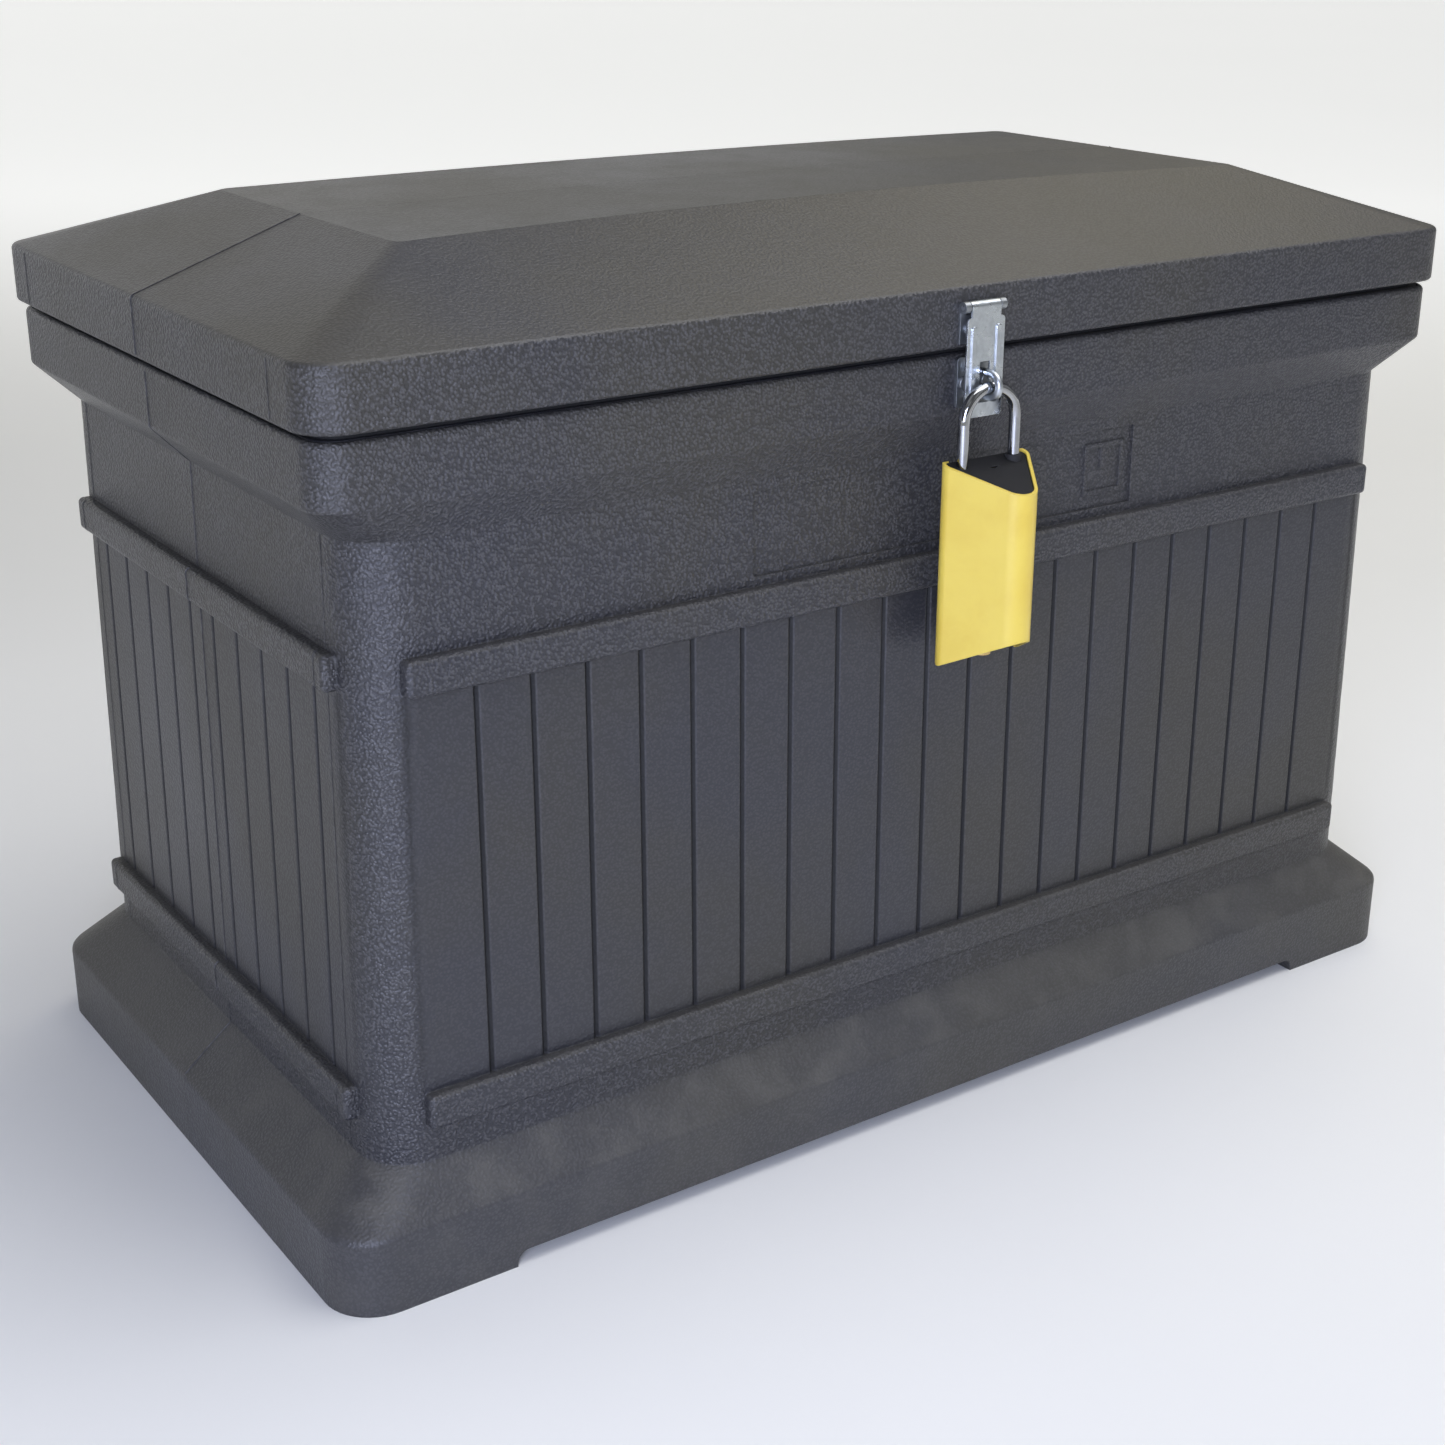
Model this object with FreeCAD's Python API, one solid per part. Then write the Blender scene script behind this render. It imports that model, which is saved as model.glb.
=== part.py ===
import FreeCAD, Part
import math
import os

from FreeCAD import Vector

# Parcel drop box: a double-walled plastic chest with a hipped lid, three rear hinges, two slotted
# lid stays, a hasp and a padlock.  Millimetres, +Z up, +X along the box, the front faces -Y.
# The origin is the middle of the footprint, on the ground.

os.makedirs("parts", exist_ok=True)

# ---- lid, outside ----
lid_length = 1000.0
lid_depth = 546.0
lid_corner_radius = 28.0
lid_skirt_height = 42.0
lid_slope_height = 44.0
lid_slope_run_x = 123.0
lid_slope_run_y = 127.0
lid_plateau_radius = 8.0
lid_crown = 4.0
lid_edge_radius = 4.0
lid_foot_radius = 3.0

# ---- body, outside ----
runner_height = 11.5
plinth_height = 57.0
plinth_slope_height = 34.0
wall_height = 432.0
cove_height = 27.0
band_height = 42.0
lid_gap = 5.0
band_inset = 5.0
band_corner_radius = 24.0
wall_top_inset_x = 31.0
wall_top_inset_y = 19.0
wall_foot_inset_x = 25.0
wall_foot_inset_y = 16.0
wall_corner_radius = 40.0
plinth_outset_x = 15.0
plinth_outset_y = 7.0
plinth_corner_radius = 38.0
plinth_edge_radius = 5.0
band_edge_radius = 4.0
runner_length = 127.0
runner_corner_radius = 9.0

# ---- rails, planks and the name plate recess ----
rail_height = 25.0
rail_proud = 9.0
rail_edge_radius = 4.0
rail_end_margin = 34.0
lower_rail_rise = 27.0
upper_rail_drop = 75.0
plank_pitch_front = 41.0
plank_pitch_end = 42.0
groove_end_margin = 33.0
groove_width = 5.0
groove_depth = 2.4
plate_length = 350.0
plate_height = 60.0
plate_depth = 2.0
plate_drop = 8.0
symbol_size = 40.0
symbol_line = 4.0
symbol_proud = 1.2
symbol_end_margin = 8.0

# ---- walls ----
shell_wall = 4.0
tub_wall = 3.5
flange_thickness = 4.0
lip_thickness = 5.0
wall_gap_x = 15.5
wall_gap_y = 18.5
tub_corner_radius = 36.0
tub_floor_lift = 76.0
tub_floor_radius = 10.0
flange_clearance = 2.0
lip_clearance = 2.0
liner_clearance = 1.0
pan_height = 36.0
seal_width = 12.0
seal_inset = 4.0
seal_gap = 0.3
post_foot_radius = 28.0
post_top_radius = 18.0
post_pitch_x = 250.0
post_pitch_y = 220.0

# ---- ground anchors ----
anchor_runner_margin = 17.0
anchor_tub_margin = 58.0
anchor_hole_radius = 6.5
anchor_sleeve_radius = 10.0
sleeve_clearance = 0.05

# ---- hinges ----
hinge_pitch = 330.0
hinge_width = 70.0
hinge_leaf = 2.5
hinge_barrel_radius = 5.0
hinge_pin_radius = 2.5
hinge_pin_head = 2.0
hinge_pin_head_radius = 4.0
hinge_face_gap = 0.5
hinge_knuckles = 5
knuckle_gap = 0.5
body_leaf_height = 31.0
lid_leaf_height = 30.0
lid_leaf_barrel_gap = 1.0
body_leaf_barrel_gap = 5.0
body_web_inset = 1.5
joggle_height = 3.0
pin_clearance = 0.05
screw_radius = 2.0
screw_length = 14.0
screw_head_radius = 4.2
screw_head_height = 2.4
screw_pitch_x = 46.0
screw_pitch_z = 15.0
screw_clearance = 0.05

# ---- lid stays ----
lid_opening_angle = 100.0
stay_reach = 135.0
stay_lid_angle = 6.0
stay_body_angle = 16.0
stay_arm_width = 20.0
stay_arm_thickness = 3.0
stay_arm_standoff = 5.5
stay_stud_radius = 4.0
stay_stud_head_radius = 7.0
stay_stud_head = 2.5
stay_side_gap = 1.0
stay_slot_clearance = 0.3
stay_slot_spare = 3.0
stay_end_margin = 12.0
bracket_thickness = 2.5
bracket_length = 44.0
bracket_height = 22.0
rivet_radius = 2.0
rivet_head_radius = 4.0
rivet_head = 1.0
rivet_pitch = 30.0
rivet_tail = 3.0
rivet_tail_radius = 3.0

# ---- hasp ----
hasp_leaf_width = 37.0
hasp_leaf_thickness = 2.0
hasp_leaf_height = 20.0
hasp_barrel_radius = 4.0
hasp_pin_radius = 1.7
hasp_pivot_rise = 29.0
hasp_knuckle = 5.0
leaf_barrel_gap = 1.5
hasp_face_gap = 0.2
strap_width = 33.5
strap_thickness = 1.8
strap_neck = 7.0
strap_end_radius = 3.0
strap_slot_side_room = 1.75
strap_slot_low_room = 2.0
strap_slot_high_room = 4.75
strap_slot_margin = 10.25
strap_rib_pitch = 22.0
strap_rib_width = 4.4
strap_rib_length = 44.0
strap_rib_proud = 1.3
strap_rib_drop = 15.0
staple_plate_width = 31.0
staple_plate_height = 36.0
staple_plate_thickness = 2.5
staple_wire_radius = 2.75
staple_eye_room = 2.6
staple_drop = 19.75
bolt_radius = 2.5
bolt_head_radius = 4.6
bolt_head_height = 2.4
bolt_tail = 2.0
bolt_clearance = 0.05
nut_radius = 4.6
nut_height = 4.0
backing_thickness = 2.0
backing_height = 16.0
backing_margin = 7.0
hasp_bolt_pitch = 20.0
staple_bolt_pitch = 20.0

# ---- padlock ----
shackle_radius = 4.2
shackle_leg_pitch = 46.8
shackle_rest_gap = 0.3
shackle_to_strap = 3.4
shackle_straight = 25.0
shackle_long_leg = 74.0
lock_drop_travel = 14.0
short_leg_escape = 2.0
leg_hole_spare = 2.0
leg_hole_clearance = 0.1
lock_width = 88.0
lock_side_depth = 67.0
lock_nose_radius = 16.0
lock_back_radius = 7.0
lock_height = 153.5
lock_top_fall = 19.0
lock_bottom_rise = 27.5
lock_back_offset = 8.5
sleeve_wall = 2.5
sleeve_return = 14.0
sleeve_lip_radius = 1.0
sleeve_foot_radius = 6.5
sleeve_head_radius = 3.0
core_clearance = 0.1
core_recess = 1.5
cap_thickness = 3.0
cap_recess = 1.5
plug_recess = 1.0
plug_radius = 7.0
plug_offset = 2.0
plug_clearance = 0.08
plug_length = 46.0
keyway_width = 2.2
keyway_length = 9.0
keyway_depth = 20.0
cam_half_length = 5.0
cam_half_width = 1.2
cam_height = 5.0
cam_room = 0.6
spindle_radius = 3.0
pin_radius = 3.0
pin_bite = 1.5
pin_bore_clearance = 0.1
pin_depth = 5.5
pin_inner_end = 6.6
pin_retract_ratio = 0.3
notch_clearance = 0.3
collar_height = 2.5
collar_width = 1.8
spring_turns = 6
spring_wire_radius = 0.5
spring_coil_radius = 3.2
spring_end_gap = 0.3

# ---- places that follow from the sizes above ----
half_lid_x = lid_length / 2
half_lid_y = lid_depth / 2
wall_foot_z = plinth_height + plinth_slope_height
wall_top_z = wall_foot_z + wall_height
band_foot_z = wall_top_z + cove_height
band_top_z = band_foot_z + band_height
lid_foot_z = band_top_z + lid_gap
skirt_top_z = lid_foot_z + lid_skirt_height
plateau_z = skirt_top_z + lid_slope_height
band_face_y = half_lid_y - band_inset
floor_z = runner_height + shell_wall
lip_z = band_top_z - flange_thickness - lip_thickness
flange_z = band_top_z - flange_thickness
tub_length = lid_length - 2 * (wall_top_inset_x + shell_wall + wall_gap_x + tub_wall)
tub_depth = lid_depth - 2 * (wall_top_inset_y + shell_wall + wall_gap_y + tub_wall)
tub_outer_x = tub_length / 2 + tub_wall
tub_outer_y = tub_depth / 2 + tub_wall
runner_inner_x = half_lid_x + plinth_outset_x - runner_length
anchor_pitch_x = 2 * (runner_inner_x + anchor_runner_margin)
anchor_pitch_y = tub_depth - 2 * anchor_tub_margin
leaf_to_barrel = hinge_barrel_radius + lid_leaf_barrel_gap
body_leaf_drop = hinge_barrel_radius + body_leaf_barrel_gap
hinge_axis_y = half_lid_y + hinge_face_gap + hinge_barrel_radius
hinge_axis_z = lid_foot_z
hasp_axis_y = -(half_lid_y + hasp_face_gap + hasp_barrel_radius)
hasp_axis_z = lid_foot_z + hasp_pivot_rise
strap_face_y = hasp_axis_y - hasp_barrel_radius
shackle_y = strap_face_y - shackle_to_strap - shackle_radius
staple_eye_height = 2 * shackle_radius + staple_eye_room
staple_low_z = band_top_z - staple_drop - staple_eye_height / 2 - staple_wire_radius
staple_high_z = staple_low_z + staple_eye_height + 2 * staple_wire_radius
strap_slot_low_z = staple_low_z - staple_wire_radius - strap_slot_low_room
strap_slot_high_z = staple_high_z + staple_wire_radius + strap_slot_high_room
strap_foot_z = strap_slot_low_z - strap_slot_margin
shackle_top_z = staple_low_z + staple_wire_radius + shackle_rest_gap + shackle_radius
arc_centre_z = shackle_top_z - shackle_leg_pitch / 2
lock_back_y = shackle_y + lock_back_offset
lock_top_z = arc_centre_z - shackle_straight
plug_y = shackle_y - plug_offset
pin_nose_x = shackle_leg_pitch / 2 - shackle_radius - pin_radius + pin_bite


# How near an edge must lie to the plane it is looked for in.
edge_tolerance = 1e-3

# ---- shape helpers ----
def rounded_wire(half_x, half_y, radius, z):
    """Closed outline of a rectangle with rounded corners, centred on the Z axis."""
    inner_x = half_x - radius
    inner_y = half_y - radius
    diagonal = radius * math.sqrt(0.5)
    edges = []
    turns = [(1, 1), (-1, 1), (-1, -1), (1, -1)]
    for index, (sx, sy) in enumerate(turns):
        along_x = Vector(sx * half_x, sy * inner_y, z)
        along_y = Vector(sx * inner_x, sy * half_y, z)
        middle = Vector(sx * (inner_x + diagonal), sy * (inner_y + diagonal), z)
        start, end = (along_x, along_y) if index % 2 == 0 else (along_y, along_x)
        edges.append(Part.Arc(start, middle, end).toShape())
        nx, ny = turns[(index + 1) % 4]
        if index % 2 == 0:
            following = Vector(nx * inner_x, ny * half_y, z)
        else:
            following = Vector(nx * half_x, ny * inner_y, z)
        edges.append(Part.LineSegment(end, following).toShape())
    return Part.Wire(edges)


def slab(half_x, half_y, radius, low, high):
    """Upright prism of a rounded rectangle."""
    outline = rounded_wire(half_x, half_y, radius, low)
    return Part.Face(outline).extrude(Vector(0, 0, high - low))


def taper(low, high):
    """Solid between two rounded rectangles, each given as (half_x, half_y, radius, z)."""
    return Part.makeLoft([rounded_wire(*low), rounded_wire(*high)], True, True)


def box(x0, x1, y0, y1, z0, z1):
    """Block between two opposite corners."""
    size = Vector(abs(x1 - x0), abs(y1 - y0), abs(z1 - z0))
    corner = Vector(min(x0, x1), min(y0, y1), min(z0, z1))
    return Part.makeBox(size.x, size.y, size.z, corner)


def rod(radius, start, direction, length):
    """Round bar from a point along a direction."""
    return Part.makeCylinder(radius, length, Vector(*start), Vector(*direction))


def joined(solids):
    """One clean solid out of several that meet."""
    first = solids[0]
    return first.fuse(solids[1:]).removeSplitter()


def mirrored_x(shape):
    """The same shape on the other end of the box."""
    return shape.mirror(Vector(0, 0, 0), Vector(1, 0, 0))


def edges_at_height(shape, z):
    """Edges that lie wholly in one level plane."""
    found = []
    for edge in shape.Edges:
        box_of = edge.BoundBox
        if abs(box_of.ZMin - z) < edge_tolerance and abs(box_of.ZMax - z) < edge_tolerance:
            found.append(edge)
    return found


def only_solid(shape):
    """The single solid inside a result."""
    assert len(shape.Solids) == 1, len(shape.Solids)
    return shape.Solids[0]


def keep(name, *solids):
    """Write one node, as one solid or as a group of separate solids."""
    shape = solids[0] if len(solids) == 1 else Part.makeCompound(list(solids))
    if len(solids) == 1:
        shape = only_solid(shape)
    assert shape.isValid(), name
    shape.exportStep("parts/" + name + ".step")
    return shape


# ---- body ----
def wall_inset(z):
    """How far the plain wall stands in from the lid's skirt, along X and along Y, at a height."""
    share = (z - wall_foot_z) / wall_height
    inset_x = wall_foot_inset_x + (wall_top_inset_x - wall_foot_inset_x) * share
    inset_y = wall_foot_inset_y + (wall_top_inset_y - wall_foot_inset_y) * share
    return inset_x, inset_y


def section(inset_x, inset_y, radius, z, wall=0.0):
    """Outline of the body at a height, moved in by a wall thickness."""
    return (half_lid_x - inset_x - wall, half_lid_y - inset_y - wall, radius - wall, z)


def body_levels(wall, low, high):
    """The body's outlines from the ground to the band's top, moved in by a wall thickness."""
    plinth = (-plinth_outset_x, -plinth_outset_y, plinth_corner_radius)
    foot = (wall_foot_inset_x, wall_foot_inset_y, wall_corner_radius)
    top = (wall_top_inset_x, wall_top_inset_y, wall_corner_radius)
    band = (band_inset, band_inset, band_corner_radius)
    return [
        section(*plinth, low, wall),
        section(*plinth, plinth_height, wall),
        section(*foot, wall_foot_z, wall),
        section(*top, wall_top_z, wall),
        section(*band, band_foot_z, wall),
        section(*band, high, wall),
    ]


def stack(levels):
    """Solid through a pile of outlines."""
    pieces = [taper(low, high) for low, high in zip(levels, levels[1:])]
    return joined(pieces)


def rail_reach(front):
    """Half-length of the rails on the long walls or on the end walls."""
    foot_x, foot_y = half_lid_x - wall_foot_inset_x, half_lid_y - wall_foot_inset_y
    return (foot_x if front else foot_y) - rail_end_margin


def rail(centre_z, front):
    """One raised rail, standing out of a wall, with rounded edges."""
    inset_x, inset_y = wall_inset(centre_z)
    face = (half_lid_y - inset_y) if front else (half_lid_x - inset_x)
    reach = rail_reach(front)
    low, high = centre_z - rail_height / 2, centre_z + rail_height / 2
    bar = box(-reach, reach, face - shell_wall / 2, face + rail_proud, low, high)
    outer = [e for e in bar.Edges if e.BoundBox.YMin > face + rail_proud - edge_tolerance]
    ends = [e for e in bar.Edges if e.BoundBox.YLength > rail_proud]
    bar = bar.makeFillet(rail_edge_radius, outer + ends)
    if not front:
        bar.rotate(Vector(0, 0, 0), Vector(0, 0, 1), -90)
    return bar


def rails():
    """Lower and upper rails on all four walls."""
    lower = wall_foot_z + lower_rail_rise + rail_height / 2
    upper = wall_top_z - upper_rail_drop - rail_height / 2
    bars = []
    for centre in (lower, upper):
        for front in (True, False):
            bar = rail(centre, front)
            twin = bar.copy()
            twin.rotate(Vector(0, 0, 0), Vector(0, 0, 1), 180)
            bars += [bar, twin]
    return bars


def groove(offset, front):
    """Cutter for one V groove between two planks, leaning with the wall."""
    low = wall_foot_z + lower_rail_rise + rail_height
    high = wall_top_z - upper_rail_drop - rail_height
    axis = 1 if front else 0
    half = half_lid_y if front else half_lid_x
    low_face = half - wall_inset(low)[axis]
    high_face = half - wall_inset(high)[axis]
    points = [
        Vector(offset - groove_width / 2, low_face + groove_depth, low),
        Vector(offset + groove_width / 2, low_face + groove_depth, low),
        Vector(offset + groove_width / 2, low_face, low),
        Vector(offset, low_face - groove_depth, low),
        Vector(offset - groove_width / 2, low_face, low),
    ]
    outline = Part.makePolygon(points + points[:1])
    cutter = Part.Face(outline).extrude(Vector(0, high_face - low_face, high - low))
    if not front:
        cutter.rotate(Vector(0, 0, 0), Vector(0, 0, 1), -90)
    return cutter


def grooves():
    """Plank grooves on all four walls."""
    cutters = []
    for pitch, front in ((plank_pitch_front, True), (plank_pitch_end, False)):
        reach = rail_reach(front) - groove_end_margin
        gaps = int(2 * reach / pitch)
        for index in range(gaps + 1):
            cutter = groove((index - gaps / 2) * pitch, front)
            twin = cutter.copy()
            twin.rotate(Vector(0, 0, 0), Vector(0, 0, 1), 180)
            cutters += [cutter, twin]
    return cutters


def plate_recess():
    """Cutter for the shallow plate on the front wall, leaving a raised parcel symbol in it."""
    high = wall_top_z - plate_drop
    low = high - plate_height
    face = -(half_lid_y - wall_inset((low + high) / 2)[1])
    floor = face + plate_depth
    cutter = box(-plate_length / 2, plate_length / 2, face - rail_proud, floor, low, high)
    right = plate_length / 2 - symbol_end_margin
    left = right - symbol_size
    foot = (low + high - symbol_size) / 2
    head = foot + symbol_size
    top = floor - symbol_proud
    frame = box(left, right, top, floor, foot, head)
    hollow = box(left + symbol_line, right - symbol_line, top, floor, foot + symbol_line, head - symbol_line)
    middle = (left + right) / 2
    tape = box(middle - symbol_line, middle + symbol_line, top, floor, foot + symbol_size / 2, head)
    return cutter.cut([frame.cut(hollow), tape])


def runner_gap():
    """Cutter for the raised underside between the two end runners."""
    half = runner_inner_x
    reach = half_lid_y + plinth_outset_y
    gap = box(-half, half, -reach, reach, -runner_height, runner_height)
    tops = [e for e in edges_at_height(gap, runner_height) if e.BoundBox.YLength > reach]
    return gap.makeFillet(runner_corner_radius, tops)


def anchor_places():
    """Centres of the four ground anchors."""
    x, y = anchor_pitch_x / 2, anchor_pitch_y / 2
    return [(-x, -y), (x, -y), (x, y), (-x, y)]


def floor_posts():
    """Moulded cones that hold the tub's floor up from the shell's floor."""
    posts = []
    height = tub_floor_lift - floor_z
    for ix in (-1, 0, 1):
        for iy in (-0.5, 0.5):
            foot = Vector(ix * post_pitch_x, iy * post_pitch_y, floor_z)
            posts.append(Part.makeCone(post_foot_radius, post_top_radius, height, foot))
    return posts


def body_shell():
    """Outer skin: plinth, walls, cove and band, hollow, with an inward lip for the tub."""
    solid = stack(body_levels(0.0, 0.0, band_top_z))
    solid = solid.makeFillet(band_edge_radius, edges_at_height(solid, band_top_z))
    solid = solid.makeFillet(band_edge_radius, edges_at_height(solid, band_foot_z))
    solid = solid.makeFillet(plinth_edge_radius, edges_at_height(solid, plinth_height))
    hollow = stack(body_levels(shell_wall, floor_z, lip_z))
    mouth = slab(
        tub_outer_x + lip_clearance, tub_outer_y + lip_clearance,
        tub_corner_radius + tub_wall, lip_z - 1, band_top_z + 1,
    )
    rebate_level = section(band_inset, band_inset, band_corner_radius, flange_z, shell_wall)
    rebate = slab(*rebate_level[:3], flange_z, band_top_z + 1)
    solid = solid.fuse(rails())
    sleeves = [
        rod(anchor_sleeve_radius + sleeve_clearance, (x, y, -1), (0, 0, 1), floor_z + 2)
        for x, y in anchor_places()
    ]
    solid = solid.cut(grooves() + [plate_recess(), runner_gap(), hollow, mouth, rebate] + sleeves)
    solid = solid.fuse(floor_posts())
    solid = solid.cut(staple_bolt_shafts(bolt_clearance) + body_screw_shafts(screw_clearance))
    return solid.removeSplitter()


def inner_tub():
    """Inner skin that holds the parcels, with a rim flange that lies in the shell's rebate."""
    radius = tub_corner_radius + tub_wall
    outer = slab(tub_outer_x, tub_outer_y, radius, tub_floor_lift, band_top_z)
    outer = outer.makeFillet(tub_floor_radius + tub_wall, edges_at_height(outer, tub_floor_lift))
    floor = tub_floor_lift + tub_wall
    inner = slab(tub_length / 2, tub_depth / 2, tub_corner_radius, floor, band_top_z + 1)
    inner = inner.makeFillet(tub_floor_radius, edges_at_height(inner, floor))
    inset = band_inset + shell_wall + flange_clearance
    flange_radius = band_corner_radius - shell_wall - flange_clearance
    flange = slab(half_lid_x - inset, half_lid_y - inset, flange_radius, flange_z, band_top_z)
    holes = [rod(anchor_hole_radius, (x, y, 0), (0, 0, 1), floor + 1) for x, y in anchor_places()]
    return joined([outer, flange]).cut([inner] + holes + stay_rivet_shafts(True, screw_clearance))


def anchor_sleeves():
    """Steel sleeves that carry the ground bolts from the tub's floor to the ground."""
    sleeves = []
    for x, y in anchor_places():
        outer = rod(anchor_sleeve_radius, (x, y, 0), (0, 0, 1), tub_floor_lift)
        sleeves.append(outer.cut(rod(anchor_hole_radius, (x, y, -1), (0, 0, 1), tub_floor_lift + 2)))
    return sleeves


def lid_seal():
    """Soft ring on the tub's flange that the closed lid rests on."""
    inset = band_inset + shell_wall + flange_clearance + seal_inset
    radius = band_corner_radius - shell_wall - flange_clearance
    half_x, half_y = half_lid_x - inset, half_lid_y - inset
    top = lid_foot_z - seal_gap
    ring = slab(half_x, half_y, radius, band_top_z, top)
    return ring.cut(slab(half_x - seal_width, half_y - seal_width, radius - seal_width / 2, 0, top + 1))


# ---- lid ----
def roof_level(rise, inset=0.0):
    """Outline of the lid's slopes at a rise over the skirt's top, moved in by a wall thickness."""
    share = rise / lid_slope_height
    radius = lid_corner_radius - inset + (lid_plateau_radius - lid_corner_radius) * share
    return (
        half_lid_x - inset - lid_slope_run_x * share,
        half_lid_y - inset - lid_slope_run_y * share,
        radius,
    )


def lid_shell():
    """Outer skin of the lid: skirt, four slopes and a slightly crowned top."""
    top = lid_slope_height + lid_crown
    skirt = slab(half_lid_x, half_lid_y, lid_corner_radius, lid_foot_z, skirt_top_z)
    roof = taper((*roof_level(0), skirt_top_z), (*roof_level(top), skirt_top_z + top))
    solid = joined([skirt, roof])
    solid = solid.makeFillet(lid_edge_radius, edges_at_height(solid, skirt_top_z))
    solid = solid.makeFillet(lid_foot_radius, edges_at_height(solid, lid_foot_z))
    solid = solid.common(crown_block())
    drop = shell_wall * math.hypot(lid_slope_height, lid_slope_run_y) / lid_slope_run_y
    eave_rise = shell_wall * lid_slope_height / lid_slope_run_y
    eave = skirt_top_z - drop + eave_rise
    rise = lid_slope_height - eave_rise
    hollow = joined([
        slab(*roof_level(0, shell_wall), lid_foot_z - 1, eave),
        taper((*roof_level(0, shell_wall), eave), (*roof_level(rise, shell_wall), eave + rise)),
    ])
    shafts = hasp_bolt_shafts(bolt_clearance) + lid_screw_shafts(screw_clearance)
    return solid.cut([hollow] + shafts)


def crown_block():
    """Everything under the lid's top, which is a very flat arch from end to end."""
    half = half_lid_x - lid_slope_run_x
    reach = half_lid_x + lid_corner_radius
    radius = (half * half + lid_crown * lid_crown) / (2 * lid_crown)
    peak = plateau_z + lid_crown
    end_z = peak - radius + math.sqrt(radius * radius - reach * reach)
    left, right = Vector(-reach, -lid_depth, end_z), Vector(reach, -lid_depth, end_z)
    arch = Part.Arc(left, Vector(0, -lid_depth, peak), right).toShape()
    low_right, low_left = Vector(reach, -lid_depth, 0), Vector(-reach, -lid_depth, 0)
    sides = Part.makePolygon([right, low_right, low_left, left])
    return Part.Face(Part.Wire([arch] + sides.Edges)).extrude(Vector(0, 2 * lid_depth, 0))


def pan_half_sizes():
    """Inside half-length and half-depth of the raised pan in the lid's lining."""
    return tub_length / 2 - liner_clearance, tub_depth / 2 - liner_clearance


def lid_liner():
    """Lining of the lid: a flat rim inside the skirt and a raised pan over the tub."""
    pan_x, pan_y = pan_half_sizes()
    inset = shell_wall + liner_clearance
    rim = slab(
        half_lid_x - inset, half_lid_y - inset, lid_corner_radius - inset,
        lid_foot_z, lid_foot_z + flange_thickness,
    )
    high = lid_foot_z + pan_height + tub_wall
    radius = tub_corner_radius
    pan = slab(pan_x + tub_wall, pan_y + tub_wall, radius + tub_wall, lid_foot_z, high)
    hollow = slab(pan_x, pan_y, radius, lid_foot_z - 1, lid_foot_z + pan_height)
    return joined([rim, pan]).cut([hollow] + stay_rivet_shafts(False, screw_clearance))


# ---- hinges ----
def hinge_places():
    """Names and middles of the three hinges."""
    return [("left", -hinge_pitch), ("center", 0.0), ("right", hinge_pitch)]


def knuckle_spans(middle, parity):
    """Start and end along X of every second knuckle of a hinge."""
    pitch = hinge_width / hinge_knuckles
    start = middle - hinge_width / 2
    spans = []
    for index in range(parity, hinge_knuckles, 2):
        low = start + index * pitch + knuckle_gap / 2
        spans.append((low, low + pitch - knuckle_gap))
    return spans


def screw_places(middle, centre_z):
    """Four screw centres on a leaf, as (x, z)."""
    dx, dz = screw_pitch_x / 2, screw_pitch_z / 2
    return [(middle + sx * dx, centre_z + sz * dz) for sx in (-1, 1) for sz in (-1, 1)]


def body_leaf_top():
    """Upper edge of the body leaf's plate."""
    return hinge_axis_z - body_leaf_drop


def body_screw_places():
    """Screw centres on all body leaves."""
    centre = body_leaf_top() - joggle_height - (body_leaf_height - joggle_height) / 2
    return [place for _, middle in hinge_places() for place in screw_places(middle, centre)]


def lid_screw_places():
    """Screw centres on all lid leaves."""
    centre = hinge_axis_z + leaf_to_barrel + lid_leaf_height / 2
    return [place for _, middle in hinge_places() for place in screw_places(middle, centre)]


def screw_shafts(places, face, clearance):
    """Screw shanks running in from the outside of a leaf."""
    radius = screw_radius + clearance
    start = face + hinge_leaf
    length = screw_length + clearance
    return [rod(radius, (x, start, z), (0, -1, 0), length) for x, z in places]


def body_screw_shafts(clearance):
    """Shanks of the body leaf screws."""
    return screw_shafts(body_screw_places(), band_face_y, clearance)


def lid_screw_shafts(clearance):
    """Shanks of the lid leaf screws."""
    return screw_shafts(lid_screw_places(), half_lid_y, clearance)


def screws(places, face):
    """Pan-head screws on one face."""
    made = []
    for shank, (x, z) in zip(screw_shafts(places, face, 0.0), places):
        seat = face + hinge_leaf
        head = rod(screw_head_radius, (x, seat, z), (0, 1, 0), screw_head_height)
        crown = [e for e in head.Edges if e.BoundBox.YMin > seat + screw_head_height - edge_tolerance]
        head = head.makeFillet(screw_head_height / 2, crown)
        drive = rod(screw_head_radius / 2, (x, seat + screw_head_height / 2, z), (0, 1, 0), screw_head_height)
        made.append(head.fuse(shank).cut(drive))
    return made


def hinge_bore(middle):
    """Cutter for the pin's bore through one hinge."""
    start = (middle - hinge_width, hinge_axis_y, hinge_axis_z)
    return rod(hinge_pin_radius + pin_clearance, start, (1, 0, 0), 2 * hinge_width)


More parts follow.
